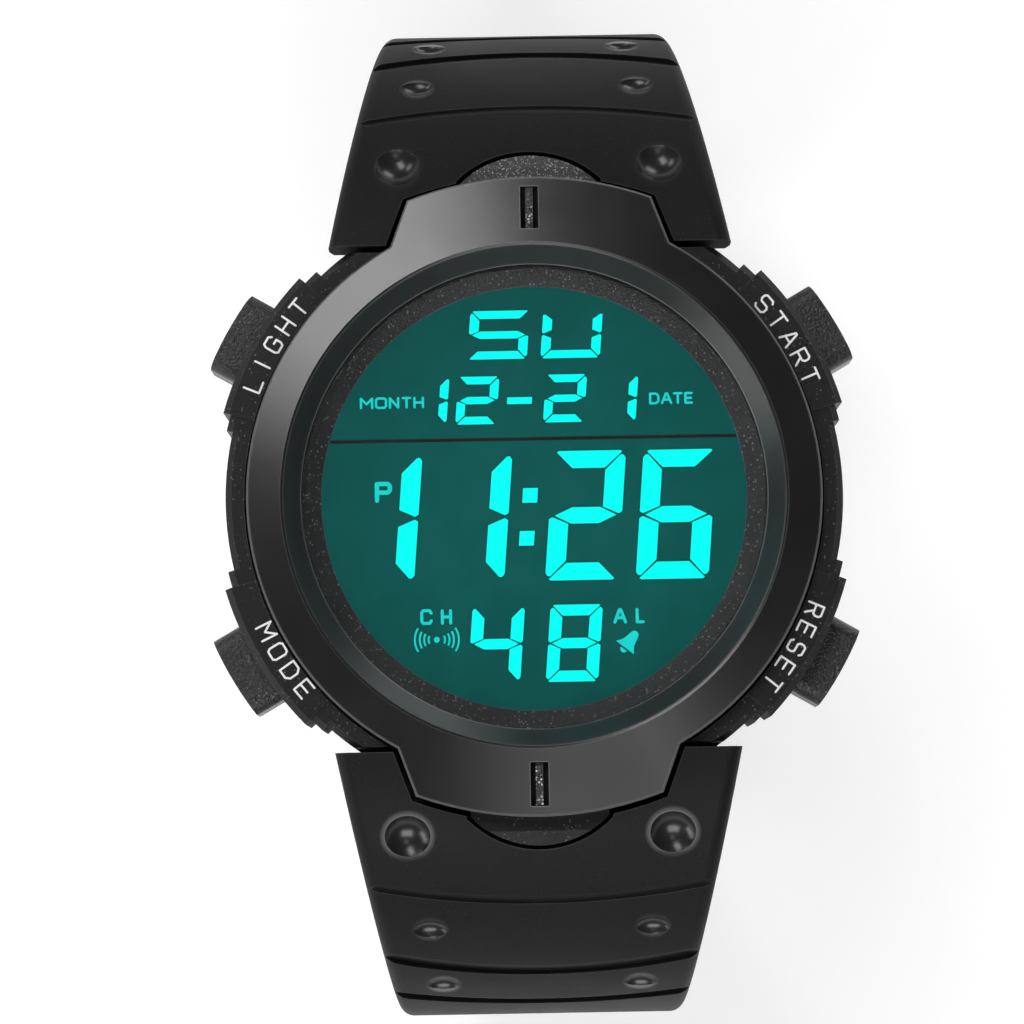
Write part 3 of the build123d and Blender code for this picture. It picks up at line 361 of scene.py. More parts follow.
def make_strap_rubber():
    """Matte black rubber with a fine tooth and painted glints, rubbed lines, lighter edges that are partly
    wear and partly painted highlight, and polished dimples.
    """
    finish, tree, surface = new_finish("strap rubber", specular_ior_level=0.12, coat_roughness=0.24,
                                       coat_ior=1.5)
    folded = add_node(tree, "ShaderNodeVectorMath", {0: object_place(tree)}, operation="ABSOLUTE")
    polished = 0.0
    inside, outside = 0.85, 1.25
    for x, y, z, radius in STRAP_DIMPLES:
        away = add_node(tree, "ShaderNodeVectorMath",
                        {0: folded.outputs["Vector"], 1: (x * MM, y * MM, z * MM)}, operation="DISTANCE")
        bowl = map_range(tree, away.outputs["Value"], inside * radius * MM, outside * radius * MM, 0.8, 0.0)
        polished = math_node(tree, "MAXIMUM", polished, bowl)
    tree.links.new(polished, surface.inputs["Coat Weight"])
    tooth = place_group(tree, moulded_grain, size=0.11, speck_share=0.03)
    rubbed = place_group(tree, scuffs, spacing=1.5, share=0.25)
    edges_worn_and_lit = place_group(tree, edge_wear_and_highlight, width=0.22, breakup=0.5)
    dust = place_group(tree, smudges, size=13.0, low=0.48, high=0.60)
    base = mix_colour(tree, dust.outputs["Patches"], (0.0050, 0.0050, 0.0054), (0.0100, 0.0100, 0.0105))
    # Paler rubbed lines, and paler edges that are partly wear and partly painted highlight
    for mask, share, paler in ((rubbed, 0.12, (0.10, 0.10, 0.10)), (edges_worn_and_lit, 0.25, (0.12, 0.12, 0.12))):
        base = mix_colour(tree, math_node(tree, "MULTIPLY", mask.outputs["Mask"], share), base, paler)
    # Painted glints on the rubber's tooth
    base = mix_colour(tree, tooth.outputs["Glints"], base, (0.035, 0.035, 0.035))
    tree.links.new(base, surface.inputs["Base Color"])
    tree.links.new(dust.outputs["Roughness"], surface.inputs["Roughness"])
    set_bump(tree, surface, tooth.outputs["Height"], 0.012)
    return finish


def make_window_glass():
    """Clear flat window with the lightest haze."""
    finish, tree, surface = new_finish("window glass", base_color=(1, 1, 1), transmission_weight=1.0,
                                       ior=1.25, metallic=0.0)
    haze = place_group(tree, smudges, size=15.0, low=0.0, high=0.015)
    tree.links.new(haze.outputs["Roughness"], surface.inputs["Roughness"])
    return finish


def make_display_glass():
    """Lit display: teal light that falls off to the rim, with the fine mottle of the light guide."""
    finish, tree, surface = new_finish("lit display", specular_ior_level=0.02, emission_strength=1.0)
    fall = map_range(tree, axis_distance(tree), 9.0 * MM, 17.5 * MM, 1.0, 0.82)
    mottle = place_group(tree, smudges, size=5.0, low=0.0, high=1.0)
    grid = place_group(tree, moulded_grain, size=0.12, speck_share=0.0)
    glow = mix_colour(tree, mottle.outputs["Roughness"], (0.0, 0.064, 0.057), (0.0005, 0.077, 0.067))
    lit = math_node(tree, "MULTIPLY", fall,
                    math_node(tree, "ADD", 0.9, math_node(tree, "MULTIPLY", grid.outputs["Height"], 0.2)))
    glow = mix_colour(tree, lit, (0.0, 0.0, 0.0), glow)
    base = mix_colour(tree, mottle.outputs["Patches"], (0.001, 0.014, 0.013), (0.002, 0.018, 0.017))
    tree.links.new(base, surface.inputs["Base Color"])
    tree.links.new(glow, surface.inputs["Emission Color"])
    tree.links.new(map_range(tree, mottle.outputs["Roughness"], 0.0, 1.0, 0.35, 0.5),
                   surface.inputs["Roughness"])
    return finish


def make_segment_light(name, inner, outer):
    """Glowing segment: nearly even, with the faint grid of the cell over it."""
    finish, tree, surface = new_finish(name, specular_ior_level=0.02, roughness=0.5, emission_strength=1.0)
    grid = place_group(tree, moulded_grain, size=0.3, speck_share=0.0)
    glow = mix_colour(tree, grid.outputs["Height"], outer, inner)
    shade = mix_colour(tree, grid.outputs["Height"], (0.0, 0.05, 0.05), (0.0, 0.08, 0.075))
    tree.links.new(glow, surface.inputs["Emission Color"])
    tree.links.new(shade, surface.inputs["Base Color"])
    return finish


def make_shadow_outline():
    """Dark teal line that a lit segment casts on the layer behind it."""
    finish, tree, surface = new_finish("segment shadow", specular_ior_level=0.02, roughness=0.6)
    mottle = place_group(tree, smudges, size=1.0, low=0.0, high=1.0)
    tone = mix_colour(tree, mottle.outputs["Roughness"], (0.004, 0.040, 0.038), (0.006, 0.050, 0.046))
    tree.links.new(tone, surface.inputs["Emission Color"])
    surface.inputs["Emission Strength"].default_value = 1.0
    tree.links.new(mix_colour(tree, mottle.outputs["Patches"], (0.002, 0.008, 0.008), (0.003, 0.011, 0.010)),
                   surface.inputs["Base Color"])
    return finish


def make_print_paint():
    """Pad-printed off-white paint, thin in places."""
    finish, tree, surface = new_finish("white print", specular_ior_level=0.4)
    thin = place_group(tree, smudges, size=0.5, low=0.45, high=0.6)
    base = mix_colour(tree, thin.outputs["Patches"], (0.62, 0.62, 0.62), (0.90, 0.90, 0.89))
    tree.links.new(base, surface.inputs["Base Color"])
    tree.links.new(thin.outputs["Roughness"], surface.inputs["Roughness"])
    set_bump(tree, surface, thin.outputs["Patches"], 0.01)
    return finish


def make_metal(name, dark, light, spacing, turned, rough, wear_colour, wear):
    """Machined metal: brushing in its height and tone, and bright edges that are partly wear and partly
    painted highlight.
    """
    finish, tree, surface = new_finish(name, metallic=1.0)
    lines = place_group(tree, brushing, spacing=spacing, turned=turned)
    handled = place_group(tree, smudges, size=6.0, low=rough - 0.05, high=rough + 0.1)
    edges_worn_and_lit = place_group(tree, edge_wear_and_highlight, width=0.15, breakup=0.5)
    base = mix_colour(tree, lines.outputs["Tone"], dark, light)
    # Bright edges: partly wear, partly painted highlight
    base = mix_colour(tree, math_node(tree, "MULTIPLY", edges_worn_and_lit.outputs["Mask"], wear), base, wear_colour)
    tree.links.new(base, surface.inputs["Base Color"])
    tree.links.new(handled.outputs["Roughness"], surface.inputs["Roughness"])
    set_bump(tree, surface, lines.outputs["Height"], 0.006)
    return finish


def make_plain_moulding(name, dark, light, rough, grain, specular):
    """Small inner moulding with a fine grain and uneven sheen."""
    finish, tree, surface = new_finish(name, specular_ior_level=specular)
    handled = place_group(tree, smudges, size=3.0, low=rough - 0.08, high=rough + 0.08)
    tooth = place_group(tree, moulded_grain, size=grain, speck_share=0.0)
    tree.links.new(mix_colour(tree, handled.outputs["Patches"], dark, light), surface.inputs["Base Color"])
    tree.links.new(handled.outputs["Roughness"], surface.inputs["Roughness"])
    set_bump(tree, surface, tooth.outputs["Height"], 0.01)
    return finish


def make_board():
    """Green circuit board with copper tracks under its lacquer."""
    finish, tree, surface = new_finish("circuit board", specular_ior_level=0.5)
    cells = add_node(tree, "ShaderNodeTexVoronoi",
                     {"Vector": object_place(tree), "Scale": 500.0, "Randomness": 0.4},
                     feature="DISTANCE_TO_EDGE")
    track_width = 0.06
    track = math_node(tree, "LESS_THAN", cells.outputs["Distance"], track_width)
    tone = mix_colour(tree, track, (0.010, 0.090, 0.035), (0.035, 0.20, 0.075))
    tree.links.new(tone, surface.inputs["Base Color"])
    sheen = place_group(tree, smudges, size=4.0, low=0.25, high=0.4)
    tree.links.new(sheen.outputs["Roughness"], surface.inputs["Roughness"])
    set_bump(tree, surface, track, 0.02)
    return finish


# Pale glint colours paint glints on each grain; the case's nose also gets a painted highlight
case_resin = make_grained_resin(
    "case resin", dark=(0.0040, 0.0040, 0.0044), light=(0.0080, 0.0080, 0.0085), size=0.16, depth=0.035,
    glints=0.07, glint_colour=(0.12, 0.12, 0.125), rough=0.45, specular=0.22,
    painted_nose_highlight=(0.060, 0.060, 0.062))
button_resin = make_grained_resin(
    "button resin", dark=(0.0030, 0.0030, 0.0034), light=(0.0070, 0.0070, 0.0075), size=0.20, depth=0.07,
    glints=0.14, glint_colour=(0.12, 0.12, 0.125), rough=0.32, specular=0.5)
ring_resin = make_grained_resin(
    "sparkling ring", dark=(0.0050, 0.0050, 0.0054), light=(0.0100, 0.0100, 0.0105), size=0.17, depth=0.06,
    glints=0.15, glint_colour=(0.13, 0.13, 0.13), rough=0.40, specular=0.22)
# The index bar: dark, with many painted glints
index_bar = make_grained_resin(
    "index bar", dark=(0.004, 0.004, 0.004), light=(0.012, 0.012, 0.012), size=0.22, depth=0.12,
    glints=0.40, glint_colour=(0.75, 0.73, 0.66), rough=0.25, specular=0.6, wear=0.02)
bezel_gloss = make_gloss_bezel()
strap_rubber = make_strap_rubber()
window_glass = make_window_glass()
display_glass = make_display_glass()
segment_light = make_segment_light("segment light", inner=(0.0, 1.0, 0.90), outer=(0.0, 0.97, 0.86))
label_light = make_segment_light("label light", inner=(0.02, 0.66, 0.62), outer=(0.01, 0.58, 0.54))
segment_shadow = make_shadow_outline()
print_paint = make_print_paint()
board_green = make_board()
steel_turned = make_metal("turned steel", dark=(0.42, 0.42, 0.42), light=(0.62, 0.62, 0.62), spacing=0.05,
                          turned=1.0, rough=0.3, wear_colour=(0.85, 0.85, 0.85), wear=0.6)
steel_plain = make_metal("plain steel", dark=(0.45, 0.45, 0.45), light=(0.62, 0.62, 0.62), spacing=0.08,
                         turned=0.0, rough=0.28, wear_colour=(0.85, 0.85, 0.85), wear=0.5)
buckle_black = make_metal("black buckle", dark=(0.030, 0.030, 0.032), light=(0.070, 0.070, 0.073),
                          spacing=0.06, turned=0.0, rough=0.32, wear_colour=(0.42, 0.42, 0.42), wear=0.7)
spring_brass = make_metal("spring brass", dark=(0.48, 0.33, 0.12), light=(0.66, 0.48, 0.20), spacing=0.08,
                          turned=0.0, rough=0.3, wear_colour=(0.85, 0.70, 0.40), wear=0.5)
divider_black = make_plain_moulding("divider black", dark=(0.002, 0.003, 0.003), light=(0.004, 0.005, 0.005),
                                    rough=0.6, grain=0.25, specular=0.1)
# Near-black lining that paints the shade inside the index slots
slot_painted_shade = make_plain_moulding("slot painted shade", dark=(0.002, 0.002, 0.002), light=(0.004, 0.004, 0.004),
                                 rough=0.7, grain=0.1, specular=0.1)
seal_rubber = make_plain_moulding("seal rubber", dark=(0.010, 0.010, 0.010), light=(0.020, 0.020, 0.020),
                                  rough=0.6, grain=0.1, specular=0.3)
light_guide = make_plain_moulding("light guide", dark=(0.52, 0.66, 0.66), light=(0.66, 0.78, 0.78),
                                  rough=0.3, grain=0.4, specular=0.5)
module_resin = make_plain_moulding("module resin", dark=(0.46, 0.46, 0.44), light=(0.62, 0.62, 0.60),
                                   rough=0.45, grain=0.15, specular=0.5)
chip_black = make_plain_moulding("chip black", dark=(0.012, 0.012, 0.013), light=(0.022, 0.022, 0.023),
                                 rough=0.4, grain=0.08, specular=0.5)

finish_of_slot = {
    "case_resin": case_resin, "bezel_gloss": bezel_gloss, "index_bar": index_bar,
    "window_glass": window_glass, "display_glass": display_glass, "light_guide": light_guide,
    "ring_resin": ring_resin, "module_resin": module_resin, "seal_rubber": seal_rubber,
    "board_green": board_green, "chip_black": chip_black, "spring_brass": spring_brass,
    "steel": steel_plain, "button_resin": button_resin, "strap_rubber": strap_rubber,
    "buckle_steel": buckle_black,
}


# Pieces carried over from the part


def set_finish(piece, finish):
    """One material on a piece."""
    piece.data.materials.clear()
    piece.data.materials.append(finish)


slot_of_node = {entry["node"]: entry["material_slot"] for entry in frame["record"]["subparts"]}
for name, slot in slot_of_node.items():
    set_finish(nodes[name], finish_of_slot[slot])
for name in ("case_back", "case_back_screws"):
    set_finish(nodes[name], steel_turned)
nodes["crystal"].visible_shadow = False


def make_shortening_spring(joint):
    """A button's return spring as a piece of its own, a copy of the part's coil on the joint's parent."""
    given = joint["deforming_nodes"][0]
    coil = nodes[given["node"]]
    piece = bpy.data.objects.new("coil_" + joint["name"], coil.data.copy())
    scene.collection.objects.link(piece)
    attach(piece, joint["parent"])
    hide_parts(given["node"])
    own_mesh(piece)


for joint in frame["joints"]:
    if joint.get("deforming_nodes"):
        make_shortening_spring(joint)


# Display: segments, labels and signs

DISPLAY_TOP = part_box("lcd_panel")[1].z
SHADOW_HEIGHT = DISPLAY_TOP + 0.004 * MM
LIGHT_HEIGHT = DISPLAY_TOP + 0.02 * MM
SLANT = tan(radians(4.7))
# No letter has more strokes than this
MOST_STROKES = 16


def flat_piece(name, polygons, height, finish, thickness=0.02, step=0.0):
    """Thin mesh piece from outlines in millimetres, lying at a height.

    A step makes each next stroke of a letter a little thicker, so that crossing strokes share no top plane.
    """
    mesh = bpy.data.meshes.new(name)
    shape = bmesh.new()
    for index, outline in enumerate(polygons):
        top = height + (thickness + index % MOST_STROKES * step) * MM
        low = [shape.verts.new((x * MM, y * MM, height)) for x, y in outline]
        high = [shape.verts.new((x * MM, y * MM, top)) for x, y in outline]
        shape.faces.new(high)
        shape.faces.new(list(reversed(low)))
        for i in range(len(outline)):
            j = (i + 1) % len(outline)
            shape.faces.new((low[i], low[j], high[j], high[i]))
    bmesh.ops.recalc_face_normals(shape, faces=shape.faces)
    shape.to_mesh(mesh)
    shape.free()
    piece = bpy.data.objects.new(name, mesh)
    scene.collection.objects.link(piece)
    set_finish(piece, finish)
    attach(piece, "case")


def segment_outlines(width, height, side, bar, gap):
    """Outlines of a seven-segment digit about its centre: a top, b c right, d bottom, e f left, g middle."""
    x, y, nip = width / 2, height / 2, 0.12 * side
    half_bar = bar * 0.47
    inner = y - gap * 1.3 - side * 0.85
    tip, foot = x - gap * 2.4, x - gap * 1.2
    top = [(-x + gap * 1.6, y - nip * 0.6), (-tip, y), (tip, y), (x - gap * 1.6, y - nip * 0.6),
           (foot - bar, y - bar), (-foot + bar, y - bar)]
    left_up = [(-x, y - gap * 3.2), (-x + nip, y - gap * 1.9), (-x + nip * 2.2, y - gap * 1.9),
               (-x + side, inner), (-x + side, half_bar + gap * 0.1),
               (-x + nip * 1.4, gap * 0.6), (-x, gap * 1.5)]
    middle = [(-tip, 0), (-foot + side, half_bar), (foot - side, half_bar),
              (tip, 0), (foot - side, -half_bar), (-foot + side, -half_bar)]
    return {
        "a": top, "d": [(px, -py) for px, py in reversed(top)],
        "f": left_up, "e": [(px, -py) for px, py in reversed(left_up)],
        "b": [(-px, py) for px, py in reversed(left_up)], "c": [(-px, -py) for px, py in left_up],
        "g": middle,
    }


LIT = {"1": "bc", "2": "abged", "4": "fgbc", "6": "afgecd", "8": "abcdefg", "S": "afgcd", "U": "fbecd"}


def digit(sign, centre, width, height, side, bar, gap):
    """Lit segment outlines of one sign, slanted and placed."""
    outlines = segment_outlines(width, height, side, bar, gap)
    made = []
    for key in LIT[sign]:
        outline = outlines[key]
        if sign == "U" and key in "fb":
            outline = [(x, min(y, 0.40 * height)) for x, y in outline]
        made.append([(centre[0] + x + y * SLANT, centre[1] + y) for x, y in outline])
    return made


def grown(outline, margin):
    """Outline pushed out by a margin, edge by edge."""
    count = len(outline)
    following = outline[1:] + outline[:1]
    area = sum(x * after[1] - after[0] * y for (x, y), after in zip(outline, following))
    turn = 1 if area > 0 else -1
    made = []
    for i, corner in enumerate(outline):
        before = (Vector(corner) - Vector(outline[i - 1])).normalized()
        after = (Vector(outline[(i + 1) % count]) - Vector(corner)).normalized()
        first = Vector((before.y, -before.x)) * turn
        lean = (first + Vector((after.y, -after.x)) * turn).normalized()
        made.append(tuple(Vector(corner) + lean * (margin / max(lean.dot(first), 0.6))))
    return made


def box_outline(cx, cy, width, height, slant=0.0):
    """Four corners of a box about its centre."""
    return [(cx + sx * width / 2 + sy * height / 2 * slant, cy + sy * height / 2)
            for sx, sy in ((-1, -1), (1, -1), (1, 1), (-1, 1))]


big = dict(width=5.23, height=10.55, side=1.60, bar=1.42, gap=0.19)
big_wide = dict(big, width=5.93)
date = dict(width=3.36, height=3.92, side=0.72, bar=0.64, gap=0.11)
day = dict(width=4.86, height=3.98, side=0.78, bar=0.66, gap=0.11)
second = dict(width=4.25, height=6.25, side=1.02, bar=0.90, gap=0.13)

colon = [box_outline(x, y, 1.22, 1.20, SLANT) for x, y in ((-0.33, 0.20), (-0.66, -3.30))]
hour_outlines = (digit("1", (-12.06, -1.50), **big) + digit("1", (-4.74, -1.50), **big)
                 + digit("2", (4.15, -1.50), **big_wide) + digit("6", (11.50, -1.53), **big_wide) + colon)
date_outlines = (digit("1", (-8.56, 8.08), **date) + digit("2", (-4.49, 8.04), **date)
                 + [box_outline(-1.05, 7.97, 2.02, 0.56, SLANT)]
                 + digit("2", (2.66, 8.10), **date) + digit("1", (6.84, 8.02), **date))
day_outlines = digit("S", (-2.66, 13.39), **day) + digit("U", (3.30, 13.39), **day)
second_outlines = digit("4", (-3.28, -11.86), **second) + digit("8", (3.04, -11.88), **second)

for name, outlines in (("display_hours", hour_outlines), ("display_date", date_outlines),
                       ("display_day", day_outlines), ("display_seconds", second_outlines)):
    margins = [grown(outline, 0.10) for outline in outlines]
    flat_piece(name + "_shadow", margins, SHADOW_HEIGHT, segment_shadow, thickness=0.008)
    flat_piece(name, outlines, LIGHT_HEIGHT, segment_light)


def arc_points(cx, cy, radius, start, end, count):
    """Points on an arc, in degrees."""
    turns = [radians(start + (end - start) * i / count) for i in range(count + 1)]
    return [(cx + radius * cos(turn), cy + radius * sin(turn)) for turn in turns]


def strip_outline(points, width):
    """Outline of a line of a given width along points."""
    left, right = [], []
    for i, (x, y) in enumerate(points):
        x0, y0 = points[max(i - 1, 0)]
        x1, y1 = points[min(i + 1, len(points) - 1)]
        turn = atan2(y1 - y0, x1 - x0)
        nx, ny = -sin(turn) * width / 2, cos(turn) * width / 2
        left.append((x + nx, y + ny))
        right.append((x - nx, y - ny))
    return left + right[::-1]


def quads_of_strip(points, width):
    """A strip cut into four-sided outlines."""
    outline = strip_outline(points, width)
    count = len(points)
    return [[outline[i], outline[i + 1], outline[-i - 2], outline[-i - 1]] for i in range(count - 1)]


wave_x, wave_y = -8.10, -11.42
wave_outlines = [arc_points(wave_x, wave_y, 0.24, 0, 345, 23)]
for reach, half in ((0.62, 30), (0.98, 30), (1.34, 30), (1.74, 33)):
    for shift, middle in ((0.05, 0), (-0.05, 180)):
        line = arc_points(wave_x + shift, wave_y, reach, middle - half, middle + half, 8)
        wave_outlines += quads_of_strip(line, 0.15)
flat_piece("display_wave_sign", wave_outlines, LIGHT_HEIGHT, label_light)

bell_x, bell_y, bell_turn = 7.44, -11.92, radians(-38)


def bell_point(x, y):
    """Point of the bell sign, turned and placed."""
    return (bell_x + x * cos(bell_turn) - y * sin(bell_turn),
            bell_y + x * sin(bell_turn) + y * cos(bell_turn))


bell_side = [(0.0, 1.12), (0.22, 1.05), (0.34, 0.86), (0.42, 0.45), (0.52, 0.05), (0.74, -0.30),
             (0.92, -0.50)]
bell_outline = bell_side + [(-x, y) for x, y in reversed(bell_side[1:])]
bell_body = [bell_point(x, y) for x, y in bell_outline]
bell_clapper = [bell_point(x, y) for x, y in arc_points(0, -0.64, 0.30, 180, 360, 8)]
flat_piece("display_bell_sign", [bell_body, bell_clapper], LIGHT_HEIGHT, label_light)

divider_outline = [(-16.55, 4.70), (-16.52, 4.97), (16.50, 4.95), (16.53, 4.67)]
flat_piece("display_divider", [divider_outline], LIGHT_HEIGHT, divider_black)


# Words: display labels and the names printed on the button guards

GUARD_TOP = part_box("case_body")[1].z
LETTERS = {
    "A": [[(-0.5, -0.5), (-0.07, 0.5), (0.07, 0.5), (0.5, -0.5)], [(-0.34, -0.14), (0.34, -0.14)]],
    "C": [[(0.5, 0.30), (0.34, 0.5), (-0.34, 0.5), (-0.5, 0.34), (-0.5, -0.34), (-0.34, -0.5),
           (0.34, -0.5), (0.5, -0.30)]],
    "D": [[(-0.5, 0.5), (0.22, 0.5), (0.5, 0.26), (0.5, -0.26), (0.22, -0.5), (-0.5, -0.5), (-0.5, 0.5)]],
    "E": [[(0.45, 0.5), (-0.5, 0.5), (-0.5, -0.5), (0.45, -0.5)], [(-0.5, 0.0), (0.36, 0.0)]],
    "G": [[(0.5, 0.32), (0.34, 0.5), (-0.34, 0.5), (-0.5, 0.32), (-0.5, -0.32), (-0.34, -0.5), (0.34, -0.5),
           (0.5, -0.32), (0.5, 0.0), (0.1, 0.0)]],
    "H": [[(-0.5, 0.5), (-0.5, -0.5)], [(0.5, 0.5), (0.5, -0.5)], [(-0.5, 0), (0.5, 0)]],
    "I": [[(0, 0.5), (0, -0.5)]],
    "L": [[(-0.45, 0.5), (-0.45, -0.5), (0.5, -0.5)]],
    "M": [[(-0.55, -0.5), (-0.55, 0.5), (0, -0.10), (0.55, 0.5), (0.55, -0.5)]],
    "N": [[(-0.5, -0.5), (-0.5, 0.5), (0.5, -0.5), (0.5, 0.5)]],
    "O": [[(-0.34, 0.5), (0.34, 0.5), (0.5, 0.34), (0.5, -0.34), (0.34, -0.5), (-0.34, -0.5), (-0.5, -0.34),
           (-0.5, 0.34), (-0.34, 0.5)]],
    "P": [[(-0.5, -0.5), (-0.5, 0.5), (0.34, 0.5), (0.5, 0.36), (0.5, 0.12), (0.34, -0.02), (-0.5, -0.02)]],
    "R": [[(-0.5, -0.5), (-0.5, 0.5), (0.34, 0.5), (0.5, 0.36), (0.5, 0.14), (0.34, 0.0), (-0.5, 0.0)],
          [(0.05, 0.0), (0.5, -0.5)]],
    "S": [[(0.5, 0.36), (0.34, 0.5), (-0.34, 0.5), (-0.5, 0.36), (-0.5, 0.14), (-0.34, 0.0), (0.34, 0.0),
           (0.5, -0.14), (0.5, -0.36), (0.34, -0.5), (-0.34, -0.5), (-0.5, -0.36)]],
    "T": [[(-0.5, 0.5), (0.5, 0.5)], [(0, 0.5), (0, -0.5)]],
}


def arc_half(centre, turn, radius):
    """Half circle round a line's end."""
    turns = [turn + radians(degrees) for degrees in (-90, -45, 0, 45, 90)]
    return [(centre[0] + radius * cos(t), centre[1] + radius * sin(t)) for t in turns]


def letter_outlines(sign, centre, right, up, width, height, stroke):
    """Round-ended strokes of one letter, with its own right and up directions; width and height are outer."""
    outlines = []
    wide, tall = width - stroke, height - stroke
    for line in LETTERS[sign]:
        points = [(centre[0] + x * wide * right[0] + y * tall * up[0],
                   centre[1] + x * wide * right[1] + y * tall * up[1]) for x, y in line]
        for first, last in zip(points, points[1:]):
            turn = atan2(last[1] - first[1], last[0] - first[0])
            outlines.append(arc_half(last, turn, stroke / 2) + arc_half(first, turn + pi, stroke / 2))
    return outlines


def display_word(name, letters, middle, height, stroke):
    """Glowing label on the display, from letters given as sign, place along X and width."""
    outlines = []
    for sign, place, width in letters:
        outlines += letter_outlines(sign, (place, middle), (1, 0), (0, 1), width, height, stroke)
    flat_piece(name, outlines, LIGHT_HEIGHT, label_light)


month_letters = (("M", -13.52, 1.02), ("O", -12.34, 1.00), ("N", -11.28, 0.86), ("T", -10.26, 0.80),
                 ("H", -9.27, 0.88))
date_letters = (("D", 9.93, 0.86), ("A", 10.93, 0.94), ("T", 11.85, 0.80), ("E", 12.74, 0.74))
display_word("display_month", month_letters, middle=7.96, height=0.96, stroke=0.19)
display_word("display_date_word", date_letters, middle=7.95, height=0.98, stroke=0.19)
display_word("display_p", [("P", -12.25, 1.42)], middle=0.66, height=1.72, stroke=0.36)
display_word("display_c", [("C", -8.91, 1.02)], middle=-9.56, height=1.28, stroke=0.25)
display_word("display_h", [("H", -7.29, 0.92)], middle=-9.58, height=1.26, stroke=0.25)
display_word("display_a", [("A", 6.79, 1.12)], middle=-9.75, height=1.26, stroke=0.25)
display_word("display_l", [("L", 8.40, 0.76)], middle=-9.75, height=1.26, stroke=0.25)


def guard_word(name, word, radius, middle_angle, step, width, outward):
    """Printed letters of one word set round the guard, each upright to the ring; angles in degrees."""
    height, stroke = 1.50, 0.17
    outlines = []
    for index, sign in enumerate(word):
        along = (index - (len(word) - 1) / 2) * step
        angle = radians(middle_angle - along if outward else middle_angle + along)
        away = (cos(angle), sin(angle))
        up = away if outward else (-away[0], -away[1])
        place = (radius * away[0], radius * away[1])
        outlines += letter_outlines(sign, place, (up[1], -up[0]), up, width, height, stroke)
    flat_piece(name, outlines, GUARD_TOP + 0.004 * MM, print_paint, thickness=0.012, step=0.001)


guard_word("word_light", "LIGHT", radius=24.45, middle_angle=148.9, step=4.3, width=1.14, outward=True)
guard_word("word_start", "START", radius=24.33, middle_angle=30.7, step=4.1, width=1.14, outward=True)
guard_word("word_mode", "MODE", radius=24.22, middle_angle=212.6, step=4.4, width=1.20, outward=False)
guard_word("word_reset", "RESET", radius=24.40, middle_angle=328.7, step=4.0, width=1.08, outward=True)


# Painted shade: black lining of the two slots that hold the index bars


def shade_index_slots():
    """Thin black walls and floor inside each slot, round its bar, that paint the slot's shade."""
    low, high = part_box("index_bars")
    length, width, wall, bar = 3.46, 1.41, 0.05, 0.62
    strip = (width - bar) / 2 - wall
    walls, floors = [], []
    for side in (1, -1):
        middle = side * (high.y / MM - INDEX_BAR_LENGTH / 2)
        for sign in (1, -1):
            walls.append(box_outline(0, middle + sign * (length - wall) / 2, width, wall))
            walls.append(box_outline(sign * (width - wall) / 2, middle, wall, length - 2 * wall))
            floors.append(box_outline(sign * (bar + strip) / 2, middle, strip, length - 2 * wall))
    flat_piece("slot_shade_walls", walls, low.z + 0.02 * MM, slot_painted_shade, thickness=0.55)
    flat_piece("slot_shade_floors", floors, low.z + 0.01 * MM, slot_painted_shade, thickness=0.04)


shade_index_slots()


# Floor, light and camera

# Distances from the watch where the floor's glow starts to rise out of its painted shade, where it is full,
# and to its edge
FLOOR_NEAR, FLOOR_FAR, FLOOR_REACH = 0.15, 0.7, 6.0
LAMPS_AIM_AT = Vector((0, 0, 12.0 * MM))


def make_floor_paper():
    """White paper that shows as white to the camera and in reflections, and keeps soft shadows; near the
    watch its glow is dimmer, a painted shade.
    """
    finish, tree, surface = new_finish("floor paper", specular_ior_level=0.1, roughness=0.9)
    fibres = add_node(tree, "ShaderNodeTexNoise",
                      {"Vector": object_place(tree), "Scale": 900.0, "Detail": 3.0})
    tone = mix_colour(tree, fibres.outputs["Fac"], (0.80, 0.80, 0.80), (0.84, 0.84, 0.84))
    tree.links.new(tone, surface.inputs["Base Color"])
    ray = add_node(tree, "ShaderNodeLightPath")
    mirrored = math_node(tree, "MAXIMUM", ray.outputs["Is Glossy Ray"], ray.outputs["Is Transmission Ray"])
    shown = math_node(tree, "MAXIMUM", ray.outputs["Is Camera Ray"], mirrored)
    # Painted shade: the glow is dimmer near the watch
    reach = add_node(tree, "ShaderNodeVectorMath", {0: object_place(tree)}, operation="LENGTH")
    away = map_range(tree, reach.outputs["Value"], FLOOR_NEAR, FLOOR_FAR)
    glow_with_painted_shade = mix_colour(tree, away, (0.32, 0.32, 0.32), (0.80, 0.80, 0.80))
    glow = mix_colour(tree, shown, (0.0, 0.0, 0.0), glow_with_painted_shade)
    tree.links.new(glow, surface.inputs["Emission Color"])
    surface.inputs["Emission Strength"].default_value = 1.0
    return finish


floor_height = min(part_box("strap_long")[0].z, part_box("buckle_tongue")[0].z)
floor_corners = [(x * FLOOR_REACH, y * FLOOR_REACH, floor_height)
                 for x, y in ((-1, -1), (1, -1), (1, 1), (-1, 1))]
floor_mesh = bpy.data.meshes.new("floor")
floor_mesh.from_pydata(floor_corners, [], [(0, 1, 2, 3)])
floor = bpy.data.objects.new("floor", floor_mesh)
scene.collection.objects.link(floor)
set_finish(floor, make_floor_paper())


def placed(x_axis, y_axis, z_axis, spot):
    """Placement matrix from three directions and a spot."""
    rows = [(x_axis[i], y_axis[i], z_axis[i], spot[i]) for i in range(3)]
    return Matrix((*rows, (0, 0, 0, 1)))


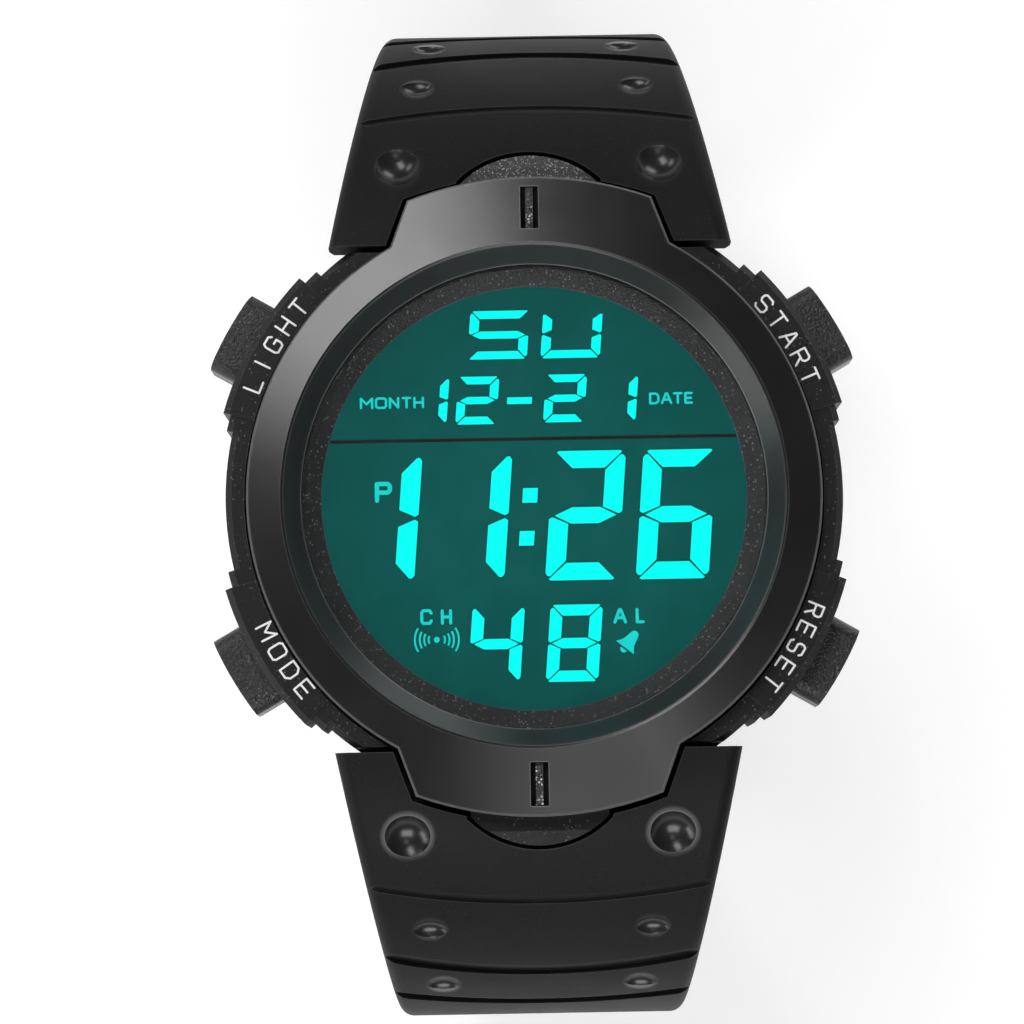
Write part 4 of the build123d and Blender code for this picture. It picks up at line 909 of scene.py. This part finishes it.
def soft_lamp(name, lean, distance, width, height, glow):
    """Area lamp that faces the dial; lean is its slopes along X and Y off straight up, glow its radiance."""
    lamp = bpy.data.lights.new(name, "AREA")
    lamp.shape = "RECTANGLE"
    lamp.size = width
    lamp.size_y = height
    lamp.energy = glow * pi * width * height
    holder = bpy.data.objects.new(name, lamp)
    scene.collection.objects.link(holder)
    holder.visible_camera = False
    away = Vector((lean[0], lean[1], 1.0)).normalized()
    across = Vector((0, 0, 1)).cross(away).normalized()
    outward = away.cross(across)
    holder.matrix_world = placed(across, outward, away, LAMPS_AIM_AT + away * distance)


soft_lamp("main_box", lean=(-0.28, 0.48), distance=0.6, width=0.22, height=0.31, glow=6.7)
soft_lamp("low_box", lean=(0.09, -0.25), distance=0.6, width=0.17, height=0.13, glow=2.0)
soft_lamp("front_box", lean=(0.0, -1.05), distance=0.7, width=0.50, height=0.30, glow=6.2)
soft_lamp("left_box", lean=(-3.6, -1.75), distance=0.8, width=0.45, height=0.24, glow=5.4)
soft_lamp("right_box", lean=(1.75, 3.4), distance=0.8, width=0.40, height=0.22, glow=5.2)
soft_lamp("far_box", lean=(-1.4, 1.1), distance=0.8, width=0.30, height=0.20, glow=5.0)

world = bpy.data.worlds.new("studio")
scene.world = world
world.use_nodes = True
sky = world.node_tree
background = sky.nodes["Background"]
background.inputs["Color"].default_value = (1, 1, 1, 1)
direction = add_node(sky, "ShaderNodeTexCoord").outputs["Generated"]
heading = add_node(sky, "ShaderNodeSeparateXYZ", {"Vector": direction})
horizon_level, sky_level = 1.0, 0.10
level = map_range(sky, heading.outputs["Z"], 0.06, 0.10, horizon_level, sky_level)
sky.links.new(level, background.inputs["Strength"])

# The camera looks at the PIVOT, which shows at CENTRE; sizes in metres, places in the frame in pixels
TILT = radians(5.15)
ROLL = radians(1.02)
DISTANCE = 0.310
PIVOT = Vector((0, 0, 15.0 * MM))
FRAME = 1024
CENTRE = (534.4, 493.2)
PIXELS_PER_MM = 12.452
SENSOR = 36.0
out = Vector((0, -sin(TILT), cos(TILT)))
up = Vector((0, cos(TILT), sin(TILT)))
side = Vector((1, 0, 0))
camera_x = cos(ROLL) * side - sin(ROLL) * up
camera_y = sin(ROLL) * side + cos(ROLL) * up
pixel = MM / PIXELS_PER_MM
camera_data = bpy.data.cameras.new("camera")
camera_data.sensor_width = SENSOR
camera_data.lens = SENSOR * DISTANCE / (FRAME * pixel)
camera_data.clip_start = 0.01
camera_data.clip_end = 10.0
camera = bpy.data.objects.new("camera", camera_data)
scene.collection.objects.link(camera)
spot = (PIVOT + out * DISTANCE - camera_x * (CENTRE[0] - FRAME / 2) * pixel
        + camera_y * (CENTRE[1] - FRAME / 2) * pixel)
camera.matrix_world = placed(camera_x, camera_y, out, spot)
scene.camera = camera
scene.view_settings.view_transform = "Standard"
